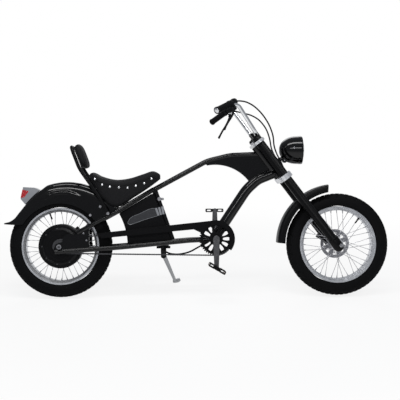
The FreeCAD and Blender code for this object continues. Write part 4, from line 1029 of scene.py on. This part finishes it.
def toothed_ring(teeth, inner, centre, lateral, thickness):
    """A ring whose outside rises to a tooth between each two rollers."""
    columns = teeth * 8
    phase = (np.arange(columns) / 8.0) % 1.0
    rise = np.clip((0.36 - np.abs(phase - 0.5)) / 0.2, 0, 1)
    root, tip = pitch_radius(teeth) - 4.1, pitch_radius(teeth) + 3.2
    angle = -2 * np.pi * np.arange(columns) / columns
    wheel = np.stack([np.cos(angle), np.sin(angle)], -1)
    radius = (root + (tip - root) * rise)[:, None]
    edge = radius - 0.8 * rise[:, None]
    rows = []
    for r, y in ((edge, -1), (radius, -0.4), (radius, 0.4), (edge, 1), (inner, 1), (inner, -1)):
        spots = np.asarray(centre)[[0, 2]] + r * wheel
        rows.append(np.stack([spots[:, 0], np.full(columns, lateral + y * thickness / 2), spots[:, 1]], -1))
    return closed_rings(rows)


def chain_pins():
    """The chain's pins: a loop of two arcs and two straight runs, shared out in equal steps."""
    big, small = pitch_radius(RING_TEETH), pitch_radius(SPROCKET_TEETH)
    ring = BRACKET[[0, 2]]
    run = math.hypot(*ring)
    line, slope = math.atan2(ring[1], ring[0]), math.asin((big - small) / run)
    straight = math.sqrt(run ** 2 - (big - small) ** 2)
    lengths = np.cumsum([0, small * (math.pi - 2 * slope), straight, big * (math.pi + 2 * slope), straight])
    count = int(round(lengths[-1] / (sizes().link_pitch * 1000) / 2)) * 2
    top, bottom = line + slope + math.pi / 2, line - slope - math.pi / 2
    pins = []
    for at in np.arange(count) * lengths[-1] / count:
        if at < lengths[1]:
            pins.append(on_circle((0, 0), small, bottom - at / small))
        elif at < lengths[2]:
            pins.append(on_circle(on_circle((0, 0), small, top), at - lengths[1], line + slope))
        elif at < lengths[3]:
            pins.append(on_circle(ring, big, top - (at - lengths[2]) / big))
        else:
            pins.append(on_circle(on_circle(ring, big, bottom), lengths[3] - at, line - slope))
    return np.array(pins)


def link_outline(length):
    """A link plate's outline: two round ends with a waist between them."""
    end, waist = 4.1, 3.1
    first = [on_circle((0, 0), end, angle) for angle in np.radians(np.linspace(60, 300, 9))]
    last = [on_circle((length, 0), end, angle) for angle in np.radians(np.linspace(-120, 120, 9))]
    return first + [(length / 2, -waist)] + last + [(length / 2, waist)]


def build_chain():
    """The chain: inner and outer plates by turns on rollers and pins."""
    pins = chain_pins()
    shells = []
    for number, (here, there) in enumerate(zip(pins, np.roll(pins, -1, 0))):
        run = there - here
        outline = link_outline(np.linalg.norm(run))
        turn = -math.atan2(run[1], run[0])
        spread_out = 2.4 if number % 2 else 3.6
        for way in SIDES:
            shells.append(slab_shell(outline, CHAIN_PLACE + way * spread_out, 0.9, 0.2, here, turn))
        middle = (here[0], CHAIN_PLACE, here[1])
        shells.append(round_shell([(3.9, -1.8), (3.9, 1.8)], middle, LATERAL, 10))
        shells.append(round_shell([(1.7, -4.0), (1.7, 4.0)], middle, LATERAL, 8))
    piece = assemble("chain_links", shells, "frame", "dark steel", 40)
    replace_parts(piece, "chain")


def build_chain_wheels():
    """The sprocket's toothed ring, and the chainring with its twelve bars and its bolts."""
    shells = [toothed_ring(SPROCKET_TEETH, 20.0, (0, 0, 0), CHAIN_PLACE, 3.0)]
    piece = assemble("sprocket_teeth", shells, "rear_wheel", "dark steel", 40)
    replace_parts(piece, "rear_sprocket")

    centre = BRACKET[[0, 2]]
    shells = [toothed_ring(RING_TEETH, 71.0, BRACKET, CHAIN_PLACE, 3.0)]
    turn = np.linspace(0, 2 * np.pi, 72, endpoint=False)
    hub = np.stack([np.cos(turn), np.sin(turn)], -1)
    shells.append(ring_shell(centre + 37 * hub, centre + 16.5 * hub, CHAIN_PLACE - 2, CHAIN_PLACE + 2))
    edge = [(34, 5.5), (50, 5.2), (62, 7), (72.5, 12)]
    outline = [(x, -y) for x, y in edge] + edge[::-1]
    bars, screws = 12, 5
    for number in range(bars):
        shells.append(slab_shell(outline, CHAIN_PLACE, 3.4, 0.7, centre, 2 * math.pi * (number + 0.5) / bars))
    for number in range(screws):
        x, z = on_circle(centre, 27, 2 * math.pi * number / screws)
        shells.append(bolt((x, CHAIN_PLACE - 2, z), (0, -1, 0), 4.5, 3))
    piece = assemble("chainring_teeth", shells, "crankset", "motor black", 40)
    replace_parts(piece, "chainring")


def build_cranks():
    """Tapered cranks on their spindle, each with its boss and its pedal's pin."""
    shells = [
        round_shell([(10, -98), (10, 98)], BRACKET, LATERAL, 32),
        round_shell([(15, -91), (15, -59.2)], BRACKET, LATERAL, 32),
    ]
    for way in SIDES:
        out, eye = (0, way, 0), (BRACKET[0], BRACKET[2] + way * CRANK_LENGTH)
        outline = hull_of_circles((BRACKET[0], BRACKET[2], 18), (*eye, 12.5))
        shells.append(slab_shell(outline, way * CRANK_PLACE, 14, 3.5))
        shells.append(round_shell([(19, 84), (19, 98), (16, 101), (9, 101), (8, 97)], BRACKET, out, 32))
        pin = [(8, 99), (8, 107), (4.5, 107), (4.5, 190)]
        shells.append(round_shell(pin, (eye[0], 0, eye[1]), out, 20))
    piece = assemble("tapered_cranks", shells, "crankset", "crank grey", 40)
    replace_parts(piece, "crank_arms")


def pedal_shells(way):
    """A cage pedal about its own centre: windowed side plates joined by round bars, a barrel, and studs."""
    shells = []
    for lateral in (-41, 41):
        shells.append(slab_shell(rounded_box(30, 18, 6), lateral, 5, 1))
        for shift in (-31, 31):
            outer = np.array(rounded_box(37, 19, 6)) + (shift, 0)
            window = np.array(rounded_box(24, 9, 3.5)) + (shift, 0)
            shells.append(ring_shell(outer, window, lateral - 2.5, lateral + 2.5))
    for forward in (-46, 46):
        for level in (-6.5, 6.5):
            path = np.stack([np.full(12, forward), np.linspace(-42, 42, 12), np.full(12, level)], -1)
            shells.append(tube_shell(path, 2.8, columns=10))
        for lateral in np.linspace(-36, 36, 7):
            for level in (-1, 1):
                stud = [(1.9, 6), (1.2, 9.6)]
                shells.append(round_shell(stud, (forward, lateral, 0), (0, 0, level), 8))
    shells.append(round_shell([(9, -41), (8, -20), (8, 20), (9, 41)], (0, 0, 0), LATERAL, 24))
    shells.append(round_shell([(6, 41), (6, 44), (4, 45)], (0, 0, 0), (0, way, 0), 16))
    return shells


def build_pedal(way, side, tilt):
    """One pedal on its crank's pin, with a reflector front and back, turned by its tilt."""
    centre = BRACKET + (0, way * PEDAL_PLACE, way * CRANK_LENGTH)
    cos, sin = math.cos(tilt), math.sin(tilt)

    def placed(shells):
        """The shells turned and moved onto the crank."""
        moved = []
        for spots, faces in shells:
            x = spots[:, 0] * cos + spots[:, 2] * sin
            z = -spots[:, 0] * sin + spots[:, 2] * cos
            moved.append((np.stack([x, spots[:, 1], z], -1) + centre, faces))
        return moved

    reflectors = [slab_shell(rounded_box(4, 9, 1.5), 0, 60, 0.8, (forward, 0)) for forward in (-46, 46)]
    piece = assemble(f"pedal_cage_{side}", placed(pedal_shells(way)), side + "_pedal", "dull black", 40)
    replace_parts(piece, "pedal_" + side)
    assemble(f"pedal_reflectors_{side}", placed(reflectors), side + "_pedal", "amber", 40)


class ChopperDrive(Operator):
    """Chain, chain wheels, cranks and pedals"""

    bl_idname = "chopper.drive"
    bl_label = "Drive"

    def execute(self, context):
        build_chain()
        build_chain_wheels()
        build_cranks()
        build_pedal(-1, "right", math.radians(30))
        build_pedal(1, "left", 0.0)
        return {"FINISHED"}


# ------------------------------------------------------------------ bars and controls


def build_controls():
    """Ribbed grips with end caps, shaped levers on their perches, and a switch box by each grip."""
    grips, caps, levers = [], [], []
    for way in SIDES:
        end = np.array([842.0, way * 304, 706])
        inner = np.array([916.0, way * 196, 752])
        along = unit(end - inner)
        start = end - along * 128
        profile = [(13, 0), (19.5, 0.5), (19.5, 4)]
        for ridge in np.arange(6, 124, 5.0):
            profile += [(15.6, ridge), (17.0, ridge + 1.2), (17.0, ridge + 3.6), (15.6, ridge + 4.6)]
        profile += [(18.5, 126), (19, 131), (17, 133)]
        grips.append(round_shell(profile, start, along, 32))
        caps.append(round_shell([(13, 132), (13, 134.5), (9, 137)], start, along, 24))
        perch = start - along * 14
        levers.append(round_shell([(15.5, -12), (18, -11), (18, 9), (15.5, 10)], perch, along, 28))
        box = start - along * 46
        levers.append(round_shell([(14, -15), (19, -12), (20, 0), (19, 12), (14, 15)], box, along, 20))
        knuckle = perch + np.array([22, way * 4, -26])
        arm = along_path([perch + (8, 0, -6), perch + (18, 0, -14), knuckle], 12)[0]
        levers.append(tube_shell(arm, 9.0, 7.5, 14, along))
        levers.append(round_shell([(7, -8), (9, -6), (9, 6), (7, 8)], knuckle, along, 20))
        tip = np.array([880.0, way * 284, 612])
        bend, low = knuckle * 0.62 + tip * 0.38 + (5, 0, 2), knuckle * 0.25 + tip * 0.75
        blade, share = along_path([knuckle, bend, low, tip], 28)
        wide = 7.5 - 2.2 * share + 2.6 * np.clip((share - 0.86) / 0.14, 0, 1)
        levers.append(tube_shell(blade, wide, 4.4, 14, unit((0.6, way * 0.2, 0.1)), 2.6))
        levers.append(round_shell([(3.5, -6.5), (6, -4), (7.2, 0), (6, 4), (3.5, 6.5)], tip, (0, 0, 1), 16))
        levers.append(bolt(knuckle, (0.1, -way * 0.2, 1), 4, 9))
    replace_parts(assemble("ribbed_grips", grips, "fork", "grip rubber", 40), "grips")
    assemble("bar_end_caps", caps, "fork", "chrome")
    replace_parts(assemble("lever_sets", levers, "fork", "dull black", 45), "brake_levers")


def build_headlamp():
    """Bullet lamp: a hollow black shell with its rim, a bright bowl with a bulb, and the side screws."""
    back, level, radius, length = 1195.0, 519.0, 77.5, 125.0
    centre, ahead = np.array([back, 0, level]), np.array([1.0, 0, 0])
    curve = [
        (radius * 0.985 * (1 - (1 - share) ** 2.3) ** 0.5, share * (length - 24))
        for share in np.linspace(0.02, 1, 26)
    ]
    rim = [(1, 20), (0, 18), (0, 3), (1.5, 0), (5, 0), (6, 3), (8, 18)]
    profile = curve + [(radius - inwards, length - behind) for inwards, behind in rim]
    shells = [round_shell(profile, centre, ahead, 72)]
    spot = on_fork(566, 0, -10.5)
    shells.append(round_shell([(7, -78), (7, 78)], spot, LATERAL, 20))
    route = [spot, spot + (24, 0, 12), (back + 40, 0, level - 40), (back + 56, 0, level - 30)]
    shells.append(tube_shell(along_path(route, 14)[0], 10.5, 10.5, 20, LATERAL))
    joint = (back + 30, 0, level - 55)
    shells.append(round_shell([(13, -14), (15, -12), (15, 12), (13, 14)], joint, LATERAL, 24))
    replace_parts(assemble("headlamp_bullet", shells, "fork", "gloss paint", 40), "headlamp_shell")
    bowl = [(radius - 7.5, length - 10), (radius - 7, length - 8)]
    for share in np.linspace(1, 0.02, 20):
        bowl.append((max(3.0, (radius - 9) * share), length - 48 + 40 * share * share))
    assemble("headlamp_bowl", [round_shell(bowl, centre, ahead, 64)], "fork", "chrome", 60)
    bulb = [(6, 46), (6, 36), (9, 32), (9, 22), (6, 17), (2, 16)]
    shells = [round_shell([(r, length - behind) for r, behind in bulb], centre, ahead, 24)]
    assemble("headlamp_bulb", shells, "fork", "bulb glass", 40)
    screws = [dome((back + 74, way * 76, level + 8), (0.05, way, 0), 6, 4) for way in SIDES]
    screws += [bolt((joint[0], way * 14, joint[2]), (0, way, 0), 5, 4) for way in SIDES]
    assemble("headlamp_screws", screws, "fork", "steel")


class ChopperControls(Operator):
    """Grips, levers and headlamp"""

    bl_idname = "chopper.controls"
    bl_label = "Controls and headlamp"

    def execute(self, context):
        build_controls()
        build_headlamp()
        return {"FINISHED"}


# ------------------------------------------------------------------ battery, stand and small fittings


BATTERY_HALF = 38.0


def build_battery_case():
    """The battery's case: its back follows the tyre and its top runs under the upper stays."""
    back = [tuple(spot) for spot in circle_spots((0, 0), 363, 28.6, 1.0, 24)[::-1]]
    top = [(322, 180), (345, 194), (488, 279), (500, 283), (507, 288), (613, 6)]
    shells = [slab_shell(back + top, 0, BATTERY_HALF * 2, 5)]
    piece = assemble("battery_shell", shells, "frame", "case plastic", 40)
    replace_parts(piece, "battery_case")


def build_battery_trim():
    """On each side a smoked window in a bright frame, a clasp, a seam and ribs. On the right, a lock."""
    frames, panes, clasps, seams = [], [], [], []
    window_top = flat_curve([(366, 128), (376, 146), (430, 174), (510, 203), (512, 203)], 22)
    window_foot = flat_curve([(526, 163), (450, 141), (400, 124), (374, 118), (366, 124)], 20)
    window = np.concatenate([window_top, window_foot])
    surround = drawn_in(clockwise(window), -2.0)
    for way in SIDES:
        panes.append(slab_shell(window, way * (BATTERY_HALF + 0.4), 1.6, 0.5))
        face = way * (BATTERY_HALF + 0.6)
        frames.append(ring_shell(surround, clockwise(window), face - 1.2, face + 1.2, 0.5))
        for shift in (0, 17, 34):
            rise, ahead, lift = shift * 0.24, shift * 0.8, shift * 0.2
            strip = [
                (512 + shift, 204 + rise), (524 + shift, 207 + rise), (538 + ahead, 164 + lift),
                (526 + ahead, 163 + lift),
            ]
            clasps.append(slab_shell(strip, way * (BATTERY_HALF + 1), 3, 0.8))
        lid = [(330, 176), (332, 180), (500, 262), (502, 258)]
        seams.append(slab_shell(lid, way * (BATTERY_HALF + 0.2), 1.4, 0.4))
        rib = rounded_box(170, 6, 2.5)
        for level in np.linspace(24, 96, 4):
            seams.append(slab_shell(rib, way * (BATTERY_HALF + 0.4), 2.2, 0.7, (480, level), -0.02))
    assemble("battery_windows", panes, "frame", "smoked", 40)
    assemble("battery_window_frames", frames + clasps, "frame", "chrome", 40)
    assemble("battery_seams", seams, "frame", "case plastic", 40)
    barrel = round_shell([(11, 26), (11, 46), (9, 48), (4, 48)], (536, 0, 254), (0, -1, 0), 28)
    tab = slab_shell(rounded_box(26, 13, 5), -30, 12, 2, (548, 254))
    assemble("battery_lock", [barrel, tab], "frame", "steel", 40)


STAND_PIVOT = np.array([556.0, 84, -56])


def build_stand():
    """Cast stand leg: an oval bar that thins towards an upturned flat foot, with a coiled spring."""
    foot_out = 246.0
    floor = (foot_out * math.sin(LEAN) - AXLE_LEVEL * 1000) / math.cos(LEAN)
    pivot, foot = STAND_PIVOT, np.array([622.0, foot_out, floor])
    fold, line = unit((0, 0.83, 0.558)), unit(foot - pivot)
    route = [pivot + line * 4, pivot + line * 60, foot - line * 40, foot - line * 14]
    path, share = along_path(route, 30)
    shells = [
        tube_shell(path, 12.5 - 4.5 * share, 10.5 - 3 * share, 20, fold, 2.4),
        round_shell([(11, -8), (13, -7), (13, 7), (11, 8)], pivot, fold, 28),
    ]
    outward = np.array([0, math.cos(LEAN), math.sin(LEAN)])
    upward = np.array([0, -math.sin(LEAN), math.cos(LEAN)])
    start = foot + upward * 9
    places = ((-16, -3, 0), (0, 0, 0), (17, 7, 3), (25, 9, 7))
    route = [start + outward * out + (ahead, 0, 0) + upward * up for ahead, out, up in places]
    sole, share = along_path(route, 18)
    taper = np.abs(2 * share - 1) ** 3
    shells.append(tube_shell(sole, 8.6 - 2.4 * taper, 12 - 4 * taper, 18, upward, 2.6))
    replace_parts(assemble("cast_stand_leg", shells, "side_stand", "stand alloy", 50), "kickstand")

    coils, steps, coil_radius, wire = 9, 220, 5, 1.1
    turn = np.linspace(0, 2 * np.pi * coils, steps)[:, None]
    first, last = pivot + np.array([-4, 12, 34]), pivot + line * 46 + np.array([0, 10, 4])
    run = last - first
    u, v = side_axes(run)
    place = np.linspace(0, 1, steps)[:, None]
    coil = first + place * run + coil_radius * (np.cos(turn) * u + np.sin(turn) * v)
    spring = tube_shell(coil, wire, columns=6, hint=tuple(unit(run)))
    assemble("stand_spring", [spring], "side_stand", "steel", 60)


def build_fork_legs():
    """Fork legs whose feet end in a round nose below the axle, with a step up from the tube."""
    shells = []
    nose = [(6, -27), (14, -25), (21, -20), (26, -12), (28.5, -2), (28.5, 42)]
    tube = [(24.5, 50), (24.5, LEG_TOP - 2), (23, LEG_TOP)]
    for way in SIDES:
        shells.append(round_shell(nose + tube, on_fork(0, way * LEG_PLACE, LEG_SETBACK), ALONG_LEG, 56))
    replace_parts(assemble("fork_leg_pair", shells, "fork", "satin paint", 40), "fork_legs")


def build_frame_bolts():
    """Bolts in the rear axle plates and the backrest's feet, and a washer on each end of the rear axle."""
    shells = []
    for way in SIDES:
        out = (0, way, 0)
        shells += [bolt((x, way * 82, z), out, 5, 4) for x, z in ((130, 72), (146, 34), (40, -24))]
        shells.append(bolt((264, way * 112, 178), out, 8, 5))
        shells.append(round_shell([(13, 94.5), (13, 97)], (0, 0, 0), out, 24))
    assemble("frame_bolts", shells, "frame", "steel")


def build_fork_bolts():
    """The clamps' pinch bolts, the axle's and the steerer's nuts, and the legs' caps and collars."""
    shells, caps = [], []
    cap = [(22, -1), (22, 3), (19, 6), (9, 6), (9, 9), (5, 10)]
    collar = [(25, 44), (29, 45), (29, 52), (25, 56)]
    axle_nut = [(9, 126), (11, 127.5), (11, 134), (9, 136), (5, 136), (5, 133)]
    top_nut = [(17, 0), (18, 1), (18, 9), (16, 11), (8, 11), (7, 6)]
    for way in SIDES:
        for along in (LOWER_CLAMP, UPPER_CLAMP):
            shells.append(bolt(on_fork(along, way * LEG_PLACE, LEG_SETBACK + 32), BEHIND_LEG, 4, 5))
            shells.append(bolt(on_fork(along, way * (LEG_PLACE - 24), LEG_SETBACK + 26), BEHIND_LEG, 4, 5))
        caps.append(round_shell(cap, on_fork(LEG_TOP, way * LEG_PLACE, LEG_SETBACK), ALONG_LEG, 32))
        caps.append(round_shell(collar, on_fork(0, way * LEG_PLACE, LEG_SETBACK), ALONG_LEG, 32))
        shells.append(round_shell(axle_nut, FRONT_AXLE, (0, way, 0), 6))
        shells += [bolt(on_fork(769, way * 36, shift * 13), ALONG_LEG, 4, 4) for shift in SIDES]
    shells.append(round_shell(top_nut, on_fork(UPPER_CLAMP + 8, 0, STEER_OFFSET), ALONG_LEG, 6))
    assemble("fork_bolts", shells, "fork", "steel")
    assemble("fork_caps", caps, "fork", "satin paint")


class ChopperFittings(Operator):
    """Battery case, stand and small fittings"""

    bl_idname = "chopper.fittings"
    bl_label = "Battery, stand and fittings"

    def execute(self, context):
        build_fork_legs()
        build_battery_case()
        build_battery_trim()
        build_stand()
        build_frame_bolts()
        build_fork_bolts()
        return {"FINISHED"}


CLASSES_BEFORE = (ChopperColours, ChopperSizes)
BUILDERS = [
    ChopperStage, ChopperFinishes, ChopperTyres, ChopperSaddle, ChopperBackrest, ChopperMudguards,
    ChopperSaddleTrim, ChopperWheelParts, ChopperDrive, ChopperControls, ChopperFittings,
]


class ChopperPanel(Panel):
    """Lists the bicycle's settings and builders"""

    bl_idname = "VIEW3D_PT_chopper"
    bl_label = "Electric chopper bicycle"
    bl_space_type = "VIEW_3D"
    bl_region_type = "UI"
    bl_category = "Chopper"

    def draw(self, context):
        layout = self.layout
        for group in (context.scene.chopper_sizes, context.scene.chopper_colours):
            for prop in group.bl_rna.properties:
                if prop.identifier not in {"name", "rna_type"}:
                    layout.prop(group, prop.identifier)
        for builder in BUILDERS:
            layout.operator(builder.bl_idname)


def register():
    """Adds the settings, the builders and the panel."""
    for cls in (*CLASSES_BEFORE, *BUILDERS, ChopperPanel):
        bpy.utils.register_class(cls)
    bpy.types.Scene.chopper_colours = PointerProperty(type=ChopperColours)
    bpy.types.Scene.chopper_sizes = PointerProperty(type=ChopperSizes)


def unregister():
    """Takes them away again."""
    del bpy.types.Scene.chopper_sizes
    del bpy.types.Scene.chopper_colours
    for cls in reversed((*CLASSES_BEFORE, *BUILDERS, ChopperPanel)):
        bpy.utils.unregister_class(cls)


def main():
    """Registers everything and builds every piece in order."""
    register()
    for builder in BUILDERS:
        group, name = builder.bl_idname.split(".")
        getattr(getattr(bpy.ops, group), name)()


if __name__ == "__main__":
    main()
